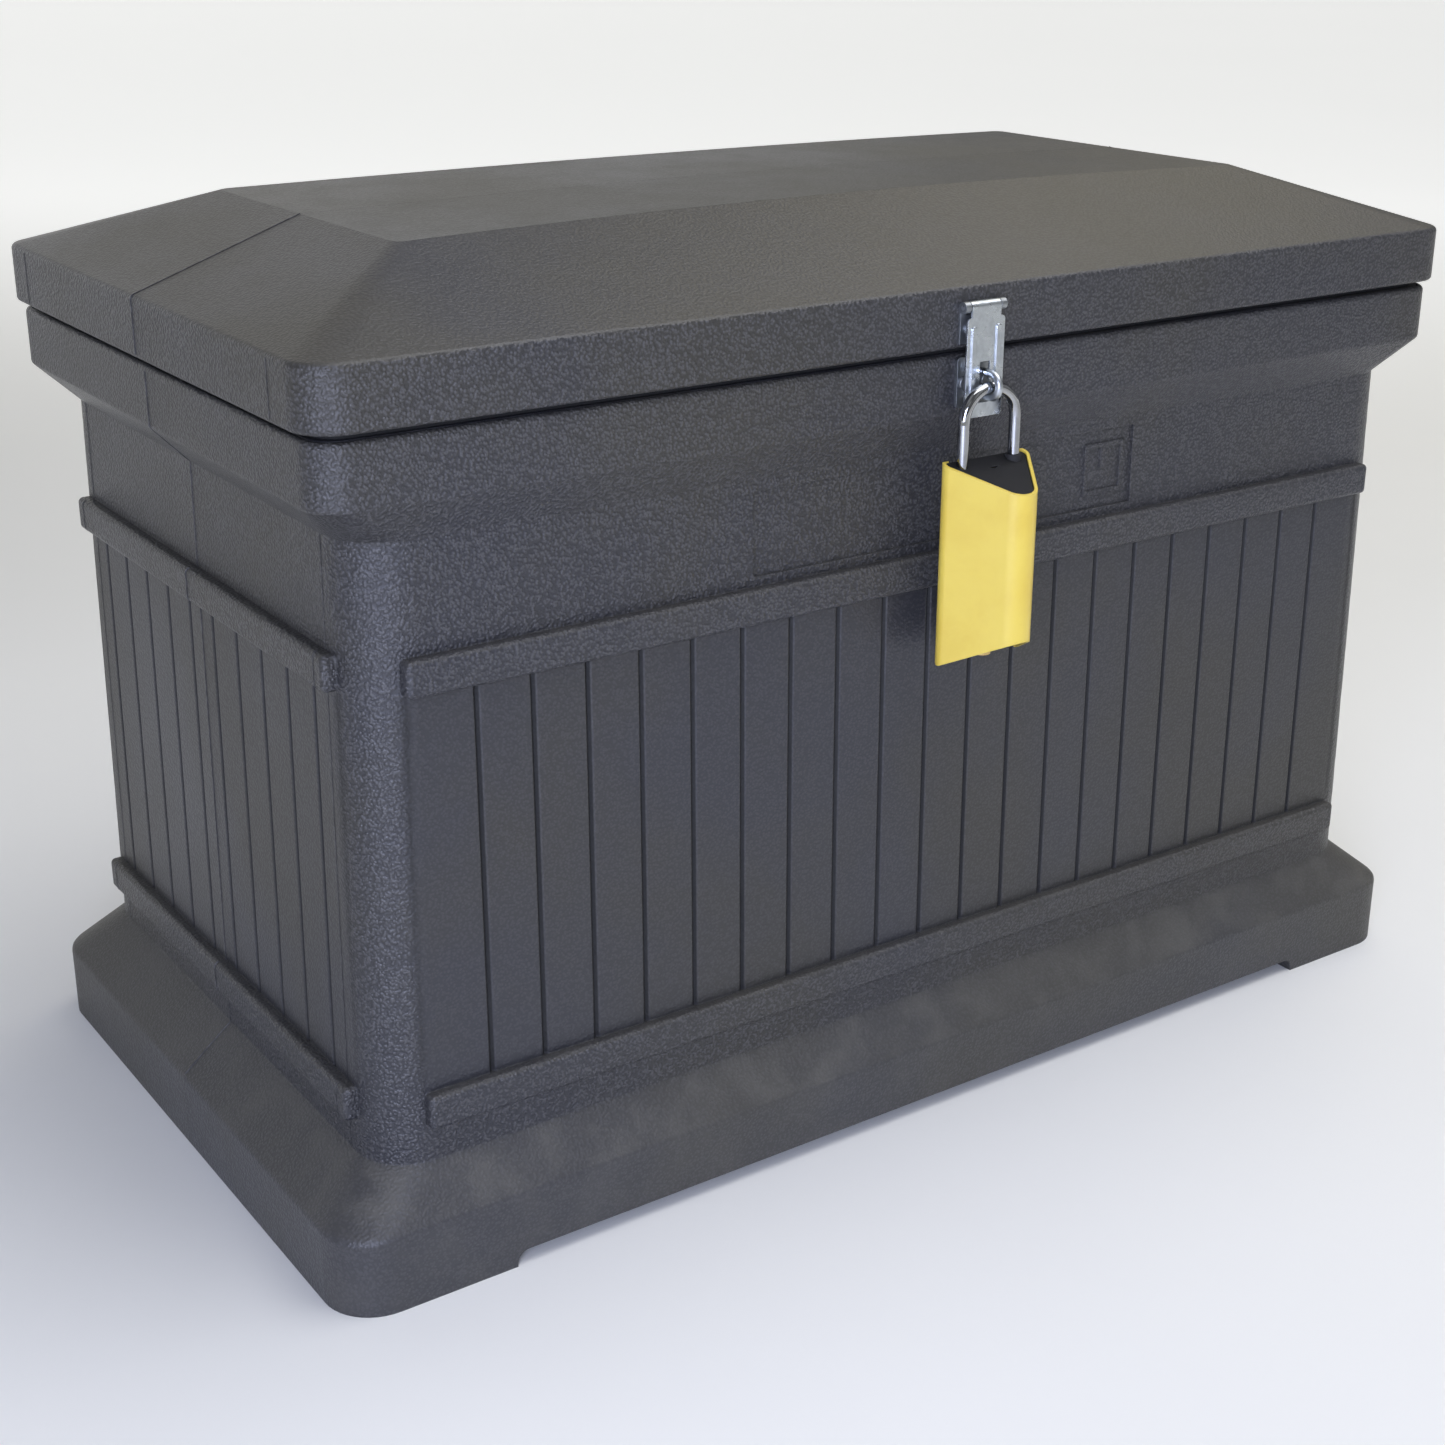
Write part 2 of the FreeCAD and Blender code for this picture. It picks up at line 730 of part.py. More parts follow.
def body_leaf(middle):
    """Cranked leaf that is screwed to the band."""
    low_x, high_x = middle - hinge_width / 2, middle + hinge_width / 2
    top = body_leaf_top()
    web_y = hinge_axis_y - hinge_barrel_radius + body_web_inset
    pieces = [box(low_x, high_x, band_face_y, band_face_y + hinge_leaf, top - body_leaf_height, top)]
    for start, end in knuckle_spans(middle, 0):
        pieces.append(box(start, end, band_face_y, web_y + hinge_leaf, top - joggle_height, top))
        pieces.append(box(start, end, web_y, web_y + hinge_leaf, top - joggle_height, hinge_axis_z))
        barrel = rod(hinge_barrel_radius, (start, hinge_axis_y, hinge_axis_z), (1, 0, 0), end - start)
        pieces.append(barrel)
    return joined(pieces).cut([hinge_bore(middle)] + body_screw_shafts(screw_clearance))


def lid_leaf(middle):
    """Leaf that is screwed to the lid's skirt."""
    low_x, high_x = middle - hinge_width / 2, middle + hinge_width / 2
    low = hinge_axis_z + leaf_to_barrel
    outer = half_lid_y + hinge_leaf
    pieces = [box(low_x, high_x, half_lid_y, outer, low, low + lid_leaf_height)]
    for start, end in knuckle_spans(middle, 1):
        pieces.append(box(start, end, half_lid_y, outer, hinge_axis_z, low))
        barrel = rod(hinge_barrel_radius, (start, hinge_axis_y, hinge_axis_z), (1, 0, 0), end - start)
        pieces.append(barrel)
    return joined(pieces).cut([hinge_bore(middle)] + lid_screw_shafts(screw_clearance))


def hinge_pin(middle):
    """Pin with a head at each end."""
    half = hinge_width / 2
    shaft = rod(hinge_pin_radius, (middle - half, hinge_axis_y, hinge_axis_z), (1, 0, 0), hinge_width)
    left_start = (middle - half - hinge_pin_head, hinge_axis_y, hinge_axis_z)
    left = rod(hinge_pin_head_radius, left_start, (1, 0, 0), hinge_pin_head)
    right = rod(hinge_pin_head_radius, (middle + half, hinge_axis_y, hinge_axis_z), (1, 0, 0), hinge_pin_head)
    return joined([shaft, left, right])


# ---- lid stays ----
def stay_lid_pivot():
    """Y and Z of the arm's pivot on the lid, with the lid shut."""
    angle = math.radians(stay_lid_angle)
    return (
        hinge_axis_y - stay_reach * math.cos(angle),
        hinge_axis_z + stay_reach * math.sin(angle),
    )


def stay_body_stud():
    """Y and Z of the stud on the tub's end wall."""
    angle = math.radians(stay_body_angle)
    return (
        hinge_axis_y - stay_reach * math.cos(angle),
        hinge_axis_z - stay_reach * math.sin(angle),
    )


def stay_span(lid_angle):
    """Distance from the pivot to the stud when the lid stands at an angle."""
    return 2 * stay_reach * math.sin(math.radians(stay_lid_angle + stay_body_angle + lid_angle) / 2)


def stay_seat(on_body):
    """Where a bracket is fastened: X of the wall, then Y and Z of its stud."""
    wall_x = tub_length / 2 if on_body else pan_half_sizes()[0]
    place = stay_body_stud() if on_body else stay_lid_pivot()
    return wall_x, place[0], place[1]


def arm_faces():
    """Inner and outer X of the right-hand arm."""
    outer = tub_length / 2 - stay_arm_standoff
    return outer - stay_arm_thickness, outer


def stay_bracket(on_body):
    """Right-hand bracket: a plate on the wall with a headed stud that passes through the arm."""
    wall_x, y, z = stay_seat(on_body)
    half_y, half_z = bracket_length / 2, bracket_height / 2
    face = wall_x - bracket_thickness
    plate = box(face, wall_x, y - half_y, y + half_y, z - half_z, z + half_z)
    ends = [e for e in plate.Edges if e.BoundBox.XLength > bracket_thickness / 2]
    plate = plate.makeFillet(bracket_height / 4, ends)
    tip = arm_faces()[0] - stay_side_gap - stay_stud_head
    stud = rod(stay_stud_radius, (tip, y, z), (1, 0, 0), wall_x - tip)
    head = rod(stay_stud_head_radius, (tip, y, z), (1, 0, 0), stay_stud_head)
    return joined([plate, stud, head]).cut(right_rivet_shafts(on_body, screw_clearance))


def right_rivet_shafts(on_body, clearance):
    """Rivet shanks of one right-hand bracket."""
    wall_x, y, z = stay_seat(on_body)
    radius = rivet_radius + clearance
    face = wall_x - bracket_thickness
    length = bracket_thickness + tub_wall + rivet_tail
    return [
        rod(radius, (face, y + side * rivet_pitch / 2, z), (1, 0, 0), length)
        for side in (-1, 1)
    ]


def stay_rivet_shafts(on_body, clearance):
    """Rivet shanks of both brackets, left and right."""
    right = right_rivet_shafts(on_body, clearance)
    return right + [mirrored_x(shaft) for shaft in right]


def stay_rivets(on_body):
    """Low-headed rivets of both brackets."""
    wall_x, y, z = stay_seat(on_body)
    face = wall_x - bracket_thickness
    made = []
    for side, shank in zip((-1, 1), right_rivet_shafts(on_body, 0.0)):
        centre_y = y + side * rivet_pitch / 2
        head = rod(rivet_head_radius, (face - rivet_head, centre_y, z), (1, 0, 0), rivet_head)
        bulge_x = wall_x + tub_wall
        bulge = rod(rivet_tail_radius, (bulge_x, centre_y, z), (1, 0, 0), rivet_tail)
        made.append(joined([head, shank, bulge]))
    return made + [mirrored_x(rivet) for rivet in made]


def stay_arm():
    """Right-hand slotted arm, pivoted on the lid and sliding on the body's stud."""
    inner, outer = arm_faces()
    y, z = stay_lid_pivot()
    near, far = stay_span(0), stay_span(lid_opening_angle)
    half = stay_arm_width / 2
    tip = far + stay_end_margin
    plate = box(inner, outer, 0, tip, -half, half)
    ends = [rod(half, (inner, end, 0), (1, 0, 0), stay_arm_thickness) for end in (0, tip)]
    slot_half = stay_stud_radius + stay_slot_clearance
    slot_start = near - stay_slot_spare
    slot = box(inner, outer, slot_start, far, -slot_half, slot_half)
    slot_ends = [rod(slot_half, (inner, end, 0), (1, 0, 0), stay_arm_thickness) for end in (slot_start, far)]
    hole = rod(stay_stud_radius + pin_clearance, (inner, 0, 0), (1, 0, 0), stay_arm_thickness)
    arm = joined([plate] + ends).cut([hole, slot] + slot_ends)
    stud_y, stud_z = stay_body_stud()
    angle = math.degrees(math.atan2(stud_z - z, stud_y - y))
    arm.rotate(Vector(0, 0, 0), Vector(1, 0, 0), angle)
    arm.translate(Vector(0, y, z))
    return arm


# ---- hasp and staple ----
def hasp_leaf_top():
    """Upper edge of the hasp leaf's plate, just under the barrel."""
    return hasp_axis_z - hasp_barrel_radius - leaf_barrel_gap


def hasp_bolt_places():
    """X and Z of the two bolts that hold the hasp's leaf."""
    z = hasp_leaf_top() - hasp_leaf_height / 2
    return [(side * hasp_bolt_pitch / 2, z) for side in (-1, 1)]


def staple_middle_z():
    """Height of the middle of the staple's eye."""
    return (staple_low_z + staple_high_z) / 2


def staple_bolt_places():
    """X and Z of the two bolts that hold the staple's plate."""
    return [(side * staple_bolt_pitch / 2, staple_middle_z()) for side in (-1, 1)]


def bolt_shafts(places, outer_face, inner_face, clearance):
    """Bolt shanks from the outside of a plate to past the nut."""
    radius = bolt_radius + clearance
    length = inner_face + backing_thickness + nut_height + bolt_tail - outer_face
    return [rod(radius, (x, outer_face, z), (0, 1, 0), length) for x, z in places]


def hasp_bolt_shafts(clearance):
    """Shanks of the bolts through the lid's skirt."""
    outer = -half_lid_y - hasp_leaf_thickness
    return bolt_shafts(hasp_bolt_places(), outer, -half_lid_y + shell_wall, clearance)


def staple_bolt_shafts(clearance):
    """Shanks of the bolts through the band."""
    outer = -band_face_y - staple_plate_thickness
    return bolt_shafts(staple_bolt_places(), outer, -band_face_y + shell_wall, clearance)


def bolts(places, shafts, outer_face):
    """Round-headed bolts."""
    made = []
    for shank, (x, z) in zip(shafts, places):
        head = rod(bolt_head_radius, (x, outer_face - bolt_head_height, z), (0, 1, 0), bolt_head_height)
        crown = [e for e in head.Edges if e.BoundBox.YMax < outer_face - bolt_head_height + edge_tolerance]
        made.append(head.makeFillet(bolt_head_height / 2, crown).fuse(shank))
    return made


def nuts(places, inner_face):
    """Hexagon nuts on the backing plate."""
    made = []
    start = inner_face + backing_thickness
    for x, z in places:
        corners = []
        for index in range(7):
            angle = math.radians(60 * index)
            corners.append(Vector(x + nut_radius * math.cos(angle), start, z + nut_radius * math.sin(angle)))
        block = Part.Face(Part.makePolygon(corners)).extrude(Vector(0, nut_height, 0))
        bore = rod(bolt_radius + bolt_clearance, (x, start, z), (0, 1, 0), nut_height)
        made.append(block.cut(bore))
    return made


def backing_plate(places, inner_face, shafts):
    """Steel plate behind the plastic wall that spreads the bolts' load."""
    reach = max(x for x, _ in places) + backing_margin
    z = places[0][1]
    half = backing_height / 2
    plate = box(-reach, reach, inner_face, inner_face + backing_thickness, z - half, z + half)
    return plate.cut(shafts)


def hasp_bore():
    """Cutter for the hasp pin's bore."""
    start = (-hasp_leaf_width, hasp_axis_y, hasp_axis_z)
    return rod(hasp_pin_radius + pin_clearance, start, (1, 0, 0), 2 * hasp_leaf_width)


def hasp_leaf():
    """Leaf bolted to the lid's skirt, with a knuckle at each end."""
    half = hasp_leaf_width / 2
    top = hasp_leaf_top()
    outer = -half_lid_y - hasp_leaf_thickness
    pieces = [box(-half, half, outer, -half_lid_y, top - hasp_leaf_height, top)]
    for start in (-half, half - hasp_knuckle):
        pieces.append(box(start, start + hasp_knuckle, outer, -half_lid_y, top, hasp_axis_z))
        barrel = rod(hasp_barrel_radius, (start, hasp_axis_y, hasp_axis_z), (1, 0, 0), hasp_knuckle)
        pieces.append(barrel)
    return joined(pieces).cut([hasp_bore()] + hasp_bolt_shafts(bolt_clearance))


def hasp_pin():
    """Pin of the hasp, peened flush at both ends."""
    half = hasp_leaf_width / 2
    return rod(hasp_pin_radius, (-half, hasp_axis_y, hasp_axis_z), (1, 0, 0), hasp_leaf_width)


def hasp_strap():
    """Swinging strap with two pressed ribs and a slot that passes over the staple."""
    neck_half = hasp_leaf_width / 2 - hasp_knuckle - knuckle_gap
    half = strap_width / 2
    inner = strap_face_y + strap_thickness
    foot = strap_foot_z
    shoulder = hasp_axis_z - strap_neck
    plate = box(-half, half, strap_face_y, inner, foot, shoulder)
    corners = [e for e in plate.Edges if e.BoundBox.YLength > strap_thickness / 2]
    plate = plate.makeFillet(strap_end_radius, corners)
    neck = box(-neck_half, neck_half, strap_face_y, inner, shoulder - strap_neck, hasp_axis_z)
    start = (-neck_half, hasp_axis_y, hasp_axis_z)
    barrel = rod(hasp_barrel_radius, start, (1, 0, 0), 2 * neck_half)
    pieces = [plate, neck, barrel]
    for side in (-1, 1):
        pieces.append(strap_rib(side * strap_rib_pitch / 2))
    slot_half = staple_wire_radius + strap_slot_side_room
    slot = box(-slot_half, slot_half, strap_face_y, inner, strap_slot_low_z, strap_slot_high_z)
    return joined(pieces).cut([hasp_bore(), slot])


def strap_rib(x):
    """One long pressed rib with round ends."""
    high = hasp_axis_z - strap_rib_drop
    half = strap_rib_width / 2
    low = high - strap_rib_length
    outer = strap_face_y - strap_rib_proud
    depth = strap_rib_proud + strap_thickness / 2
    bar = box(x - half, x + half, outer, outer + depth, low, high)
    caps = [rod(half, (x, outer, z), (0, 1, 0), depth) for z in (low, high)]
    solid = joined([bar] + caps)
    rim = [e for e in solid.Edges if e.BoundBox.YMax < outer + edge_tolerance]
    return solid.makeFillet(strap_rib_proud / 2, rim)


def staple_plate():
    """Plate under the strap that carries the staple."""
    half = staple_plate_width / 2
    z = staple_middle_z()
    low, high = z - staple_plate_height / 2, z + staple_plate_height / 2
    face = -band_face_y - staple_plate_thickness
    plate = box(-half, half, face, -band_face_y, low, high)
    corners = [e for e in plate.Edges if e.BoundBox.YLength > staple_plate_thickness / 2]
    return plate.makeFillet(strap_end_radius, corners).cut(staple_bolt_shafts(bolt_clearance))


def staple():
    """Wire loop, standing upright out of its plate, that the shackle passes through."""
    root_y = -band_face_y - staple_plate_thickness
    bend = (staple_high_z - staple_low_z) / 2
    turn_y = shackle_y
    low_root, low_turn = Vector(0, root_y, staple_low_z), Vector(0, turn_y, staple_low_z)
    high_root, high_turn = Vector(0, root_y, staple_high_z), Vector(0, turn_y, staple_high_z)
    nose = Vector(0, turn_y - bend, staple_middle_z())
    path = Part.Wire([
        Part.LineSegment(low_root, low_turn).toShape(),
        Part.Arc(low_turn, nose, high_turn).toShape(),
        Part.LineSegment(high_turn, high_root).toShape(),
    ])
    circle = Part.Circle(low_root, Vector(0, -1, 0), staple_wire_radius).toShape()
    return path.makePipeShell([Part.Wire(circle)], True, False)


# ---- padlock ----
def lock_prism(inset, low, high):
    """Upright prism of the lock's plan: flat back, two sides and a rounded nose."""
    side_angle = math.atan2(lock_width / 2, lock_side_depth)
    back = lock_back_y - inset
    reach = inset / math.sin(side_angle)
    depth = lock_side_depth - inset - reach
    half = depth * math.tan(side_angle)
    corners = [Vector(-half, back, low), Vector(half, back, low), Vector(0, back - depth, low)]
    prism = Part.Face(Part.makePolygon(corners + corners[:1])).extrude(Vector(0, 0, high - low))
    upright = [e for e in prism.Edges if e.BoundBox.ZLength > (high - low) / 2]
    nose = [e for e in upright if e.BoundBox.YMax < back - depth / 2]
    rear = [e for e in upright if e.BoundBox.YMax > back - depth / 2]
    prism = prism.makeFillet(lock_nose_radius - inset, nose)
    rear = [e for e in prism.Edges if e.BoundBox.ZLength > (high - low) / 2
            and abs(abs(e.BoundBox.XMax) - half) < edge_tolerance and e.BoundBox.XLength < edge_tolerance]
    return prism.makeFillet(lock_back_radius - inset, rear)


def slope_cut(back_z, fall, above):
    """Half-space over or under a plane that falls from the lock's back to its nose."""
    reach = lock_width
    front = lock_back_y - reach
    front_z = back_z - fall * reach / nose_depth()
    far_z = back_z + lock_height * (2 if above else -2)
    back = lock_back_y + reach / 4
    back_edge_z = back_z + fall * reach / 4 / nose_depth()
    points = [
        Vector(-reach, back, back_edge_z),
        Vector(-reach, front, front_z),
        Vector(-reach, front, far_z),
        Vector(-reach, back, far_z),
    ]
    return Part.Face(Part.makePolygon(points + points[:1])).extrude(Vector(2 * reach, 0, 0))


def nose_depth():
    """Distance from the lock's flat back to the tip of its rounded nose."""
    side_angle = math.atan2(lock_width / 2, lock_side_depth)
    return lock_side_depth - lock_nose_radius / math.sin(side_angle) + lock_nose_radius


def lock_slice(inset, top_recess, bottom_recess, keep_height=None):
    """The lock's prism between its sloping top and bottom, each moved in by a recess."""
    low = lock_top_z - lock_height - lock_bottom_rise
    prism = lock_prism(inset, low, lock_top_z + lock_top_fall)
    top = lock_top_z - top_recess
    bottom = lock_top_z - lock_height + bottom_recess
    solid = prism.cut(slope_cut(bottom, -lock_bottom_rise, False))
    if keep_height is None:
        return solid.cut(slope_cut(top, lock_top_fall, True))
    return solid.cut(slope_cut(bottom + keep_height, -lock_bottom_rise, True))


def sleeve_side_view():
    """Block across the lock with the sleeve's side outline, its two rear corners rounded."""
    reach = lock_width / 2
    nose_y = lock_back_y - lock_width
    foot_z = lock_top_z - lock_height
    foot_rise = lock_bottom_rise * lock_width / nose_depth()
    top_fall = lock_top_fall * lock_width / nose_depth()
    points = [
        Vector(-reach, lock_back_y, lock_top_z),
        Vector(-reach, nose_y, lock_top_z - top_fall),
        Vector(-reach, nose_y, foot_z + foot_rise),
        Vector(-reach, lock_back_y, foot_z),
    ]
    block = Part.Face(Part.makePolygon(points + points[:1])).extrude(Vector(lock_width, 0, 0))
    back = lock_back_y - edge_tolerance
    across = [e for e in block.Edges if e.BoundBox.XLength > reach and e.BoundBox.YMin > back]
    head = [e for e in across if e.BoundBox.ZMin > lock_top_z - edge_tolerance]
    foot = [e for e in across if e.BoundBox.ZMax < foot_z + edge_tolerance]
    return block.makeFillet(sleeve_head_radius, head).makeFillet(sleeve_foot_radius, foot)


def lock_sleeve():
    """Bright sleeve of the padlock: a jacket round the nose and sides, open along the back."""
    outer = lock_slice(0.0, 0.0, 0.0).common(sleeve_side_view())
    low = lock_top_z - 2 * lock_height
    high = lock_top_z + lock_height
    wrap = outer.cut(lock_prism(sleeve_wall, low, high))
    half = lock_width / 2 - sleeve_return
    inside_y = lock_back_y - 2 * sleeve_wall
    wrap = wrap.cut(box(-half, half, inside_y, lock_back_y + sleeve_wall, low, high))
    lips = [
        e for e in wrap.Edges
        if e.BoundBox.ZLength > lock_height / 2
        and e.BoundBox.XLength < edge_tolerance
        and abs(abs(e.BoundBox.XMax) - half) < edge_tolerance
    ]
    return wrap.makeFillet(sleeve_lip_radius, lips)


def leg_x(side):
    """X of a shackle leg; side is -1 for the short leg and 1 for the long one."""
    return side * shackle_leg_pitch / 2


def mouth_z():
    """Height of the core's sloping top where the legs go in."""
    return lock_top_z - core_recess - lock_top_fall * lock_back_offset / nose_depth()


def pin_z():
    """Height of the locking pins."""
    return mouth_z() - pin_depth


def short_leg_end():
    """Height of the short leg's tip."""
    return mouth_z() - lock_drop_travel + short_leg_escape


def long_leg_end():
    """Height of the long leg's tip."""
    return mouth_z() - shackle_long_leg


def plug_bottom_z():
    """Height of the key plug's outer face."""
    rise = lock_bottom_rise * (lock_back_y - plug_y) / nose_depth()
    return lock_top_z - lock_height + cap_recess + rise


def lock_core():
    """Dark core that holds the shackle, the pins and the key plug."""
    inset = sleeve_wall + core_clearance
    solid = lock_slice(inset, core_recess, cap_recess + cap_thickness)
    hole = shackle_radius + leg_hole_clearance
    spring_room = spring_room_height()
    short_floor = short_leg_end() - leg_hole_spare
    long_floor = long_leg_end() - spring_room
    top = lock_top_z + lock_top_fall
    cutters = [
        rod(hole, (leg_x(-1), shackle_y, short_floor), (0, 0, 1), top - short_floor),
        rod(hole, (leg_x(1), shackle_y, long_floor), (0, 0, 1), top - long_floor),
        rod(pin_radius + pin_bore_clearance, (leg_x(-1), shackle_y, pin_z()), (1, 0, 0), shackle_leg_pitch),
        cam_chamber(),
        rod(plug_radius + plug_clearance, (0, plug_y, plug_bottom_z() - plug_radius), (0, 0, 1),
            plug_length + plug_radius),
        rod(spindle_radius + plug_clearance, (0, plug_y, plug_bottom_z()), (0, 0, 1), pin_z() - plug_bottom_z()),
    ]
    return solid.cut(cutters)


def cam_chamber():
    """Round room that the cam turns in."""
    radius = math.hypot(cam_half_length, cam_half_width) + cam_room
    low = spindle_top()
    return rod(radius, (0, plug_y, low), (0, 0, 1), pin_z() + cam_height / 2 + cam_room - low)


def spindle_top():
    """Height where the round spindle ends and the flat cam begins, just under the pins."""
    return pin_z() - pin_radius - cam_room


def spring_room_height():
    """Height of the room under the long leg."""
    return 4 * spring_turns * spring_wire_radius + 2 * spring_end_gap


def shackle():
    """Bent bar with a long captive leg, a short free leg and a ramped notch in each."""
    short_end, long_end = short_leg_end(), long_leg_end()
    left, right = leg_x(-1), leg_x(1)
    points = [
        Vector(left, shackle_y, short_end),
        Vector(left, shackle_y, arc_centre_z),
        Vector(0, shackle_y, arc_centre_z + shackle_leg_pitch / 2),
        Vector(right, shackle_y, arc_centre_z),
        Vector(right, shackle_y, long_end),
    ]
    path = Part.Wire([
        Part.LineSegment(points[0], points[1]).toShape(),
        Part.Arc(points[1], points[2], points[3]).toShape(),
        Part.LineSegment(points[3], points[4]).toShape(),
    ])
    circle = Part.Circle(points[0], Vector(0, 0, 1), shackle_radius).toShape()
    bar = path.makePipeShell([Part.Wire(circle)], True, False)
    return bar.cut([notch(-1), notch(1)])


def notch(side):
    """Ramped notch that lets a pin out sideways as the lock drops along a leg."""
    radius = pin_radius + notch_clearance
    drop = (pin_bite + notch_clearance) / pin_retract_ratio
    start = Vector(side * pin_nose_x, shackle_y, pin_z())
    end = Vector(side * (pin_nose_x - drop * pin_retract_ratio), shackle_y, pin_z() - drop)
    along = end - start
    ramp = Part.makeCylinder(radius, along.Length, start, along)
    return ramp.fuse([Part.makeSphere(radius, start), Part.makeSphere(radius, end)])


def locking_pin(side):
    """Hardened pin whose round nose bites into a leg's notch."""
    nose = Part.makeSphere(pin_radius, Vector(side * pin_nose_x, shackle_y, pin_z()))
    start = (side * pin_inner_end, shackle_y, pin_z())
    return joined([rod(pin_radius, start, (side, 0, 0), pin_nose_x - pin_inner_end), nose])


def lock_bottom_cap():
    """Plate that closes the lock from below around the key plug."""
    inset = sleeve_wall + core_clearance
    plate = lock_slice(inset, 0.0, cap_recess, cap_thickness)
    low = plug_bottom_z() - plug_radius
    return plate.cut(rod(plug_radius + plug_clearance, (0, plug_y, low), (0, 0, 1), 3 * plug_radius))


def lock_plug():
    """Key plug with its keyway, a spindle and the flat cam that holds the pins apart."""
    low = plug_bottom_z() + plug_recess
    barrel = rod(plug_radius, (0, plug_y, low), (0, 0, 1), plug_length - 2 * plug_recess)
    spindle = rod(spindle_radius, (0, plug_y, low), (0, 0, 1), spindle_top() - low)
    cam = box(
        -cam_half_length, cam_half_length, plug_y - cam_half_width, plug_y + cam_half_width,
        spindle_top(), pin_z() + cam_height / 2,
    )
    keyway = box(
        -keyway_width / 2, keyway_width / 2, plug_y - keyway_length / 2, plug_y + keyway_length / 2,
        low, low + keyway_depth,
    )
    return joined([barrel, spindle, cam]).cut(keyway)


def shackle_collar():
    """Rubber wiper ring around the long leg, on the core's sloping top."""
    hole = shackle_radius + leg_hole_clearance
    start = (leg_x(1), shackle_y, mouth_z() - lock_top_fall)
    length = lock_top_fall + collar_height
    outer = rod(hole + collar_width, start, (0, 0, 1), length)
    ring = outer.cut(rod(hole, start, (0, 0, 1), length))
    inset = sleeve_wall + core_clearance
    room = lock_prism(inset, lock_top_z - lock_height, lock_top_z)
    return ring.common(room.common(slope_cut(lock_top_z - core_recess, lock_top_fall, True)))


def shackle_spring():
    """Coil spring under the long leg."""
    pitch = (spring_room_height() - 2 * spring_end_gap - 2 * spring_wire_radius) / spring_turns
    height = pitch * spring_turns
    low = long_leg_end() - spring_room_height() + spring_end_gap + spring_wire_radius
    helix = Part.makeHelix(pitch, height, spring_coil_radius)
    circle = Part.Circle(Vector(spring_coil_radius, 0, 0), Vector(0, 1, 0), spring_wire_radius).toShape()
    coil = Part.Wire(helix.Edges).makePipeShell([Part.Wire(circle)], True, True)
    coil.translate(Vector(leg_x(1), shackle_y, low))
    return coil


# ---- write every node ----
def build_box():
    """Nodes that stay with the box."""
    keep("body_shell", body_shell())
    keep("inner_tub", inner_tub())
    keep("anchor_sleeves", *anchor_sleeves())
    keep("lid_seal", lid_seal())
    for name, middle in hinge_places():
        keep("hinge_body_leaf_" + name, body_leaf(middle))
        keep("hinge_pin_" + name, hinge_pin(middle))
    keep("hinge_body_screws", *screws(body_screw_places(), band_face_y))
    keep("stay_body_bracket_right", stay_bracket(True))
    keep("stay_body_bracket_left", mirrored_x(stay_bracket(True)))
    keep("stay_body_rivets", *stay_rivets(True))
    inner_face = -band_face_y + shell_wall
    keep("staple_plate", staple_plate())
    keep("staple", staple())
    places = staple_bolt_places()
    outer = -band_face_y - staple_plate_thickness
    keep("staple_bolts", *bolts(places, staple_bolt_shafts(0.0), outer))
    keep("staple_nuts", *nuts(places, inner_face))
    keep("staple_backing_plate", backing_plate(places, inner_face, staple_bolt_shafts(bolt_clearance)))


def build_lid():
    """Nodes that swing with the lid, and the arms and strap hung on it."""
    keep("lid_shell", lid_shell())
    keep("lid_liner", lid_liner())
    for name, middle in hinge_places():
        keep("hinge_lid_leaf_" + name, lid_leaf(middle))
    keep("hinge_lid_screws", *screws(lid_screw_places(), half_lid_y))
    keep("stay_lid_bracket_right", stay_bracket(False))
    keep("stay_lid_bracket_left", mirrored_x(stay_bracket(False)))
    keep("stay_lid_rivets", *stay_rivets(False))
    keep("stay_arm_right", stay_arm())
    keep("stay_arm_left", mirrored_x(stay_arm()))
    keep("hasp_leaf", hasp_leaf())
    keep("hasp_pin", hasp_pin())
    keep("hasp_strap", hasp_strap())
    inner_face = -half_lid_y + shell_wall
    places = hasp_bolt_places()
    outer = -half_lid_y - hasp_leaf_thickness
    keep("hasp_bolts", *bolts(places, hasp_bolt_shafts(0.0), outer))
    keep("hasp_nuts", *nuts(places, inner_face))
    keep("hasp_backing_plate", backing_plate(places, inner_face, hasp_bolt_shafts(bolt_clearance)))


def build_padlock():
    """Nodes of the padlock."""
    keep("shackle", shackle())
    keep("locking_pin_left", locking_pin(-1))
    keep("locking_pin_right", locking_pin(1))
    keep("lock_sleeve", lock_sleeve())
    keep("lock_core", lock_core())
    keep("lock_bottom_cap", lock_bottom_cap())
    keep("lock_plug", lock_plug())
    keep("shackle_collar", shackle_collar())
    keep("shackle_spring", shackle_spring())


build_box()
build_lid()
build_padlock()
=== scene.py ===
import math

import bmesh
import bpy
from mathutils import Matrix, Vector


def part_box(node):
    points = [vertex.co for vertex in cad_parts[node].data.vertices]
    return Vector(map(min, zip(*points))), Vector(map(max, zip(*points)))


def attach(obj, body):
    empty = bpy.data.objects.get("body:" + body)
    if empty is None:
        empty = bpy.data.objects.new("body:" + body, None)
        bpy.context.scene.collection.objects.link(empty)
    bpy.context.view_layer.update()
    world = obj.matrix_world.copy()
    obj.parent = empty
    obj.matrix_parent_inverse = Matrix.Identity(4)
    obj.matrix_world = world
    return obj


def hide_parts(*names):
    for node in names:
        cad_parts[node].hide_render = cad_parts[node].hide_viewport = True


bl_info = {
    "name": "Parcel Drop Box Finish",
    "version": (1, 0, 0),
    "blender": (4, 5, 0),
    "location": "View3D > Sidebar > Drop Box",
    "description": "Finishes, moulding lines, seal and studio for a hipped-lid parcel drop box",
    "category": "Object",
}

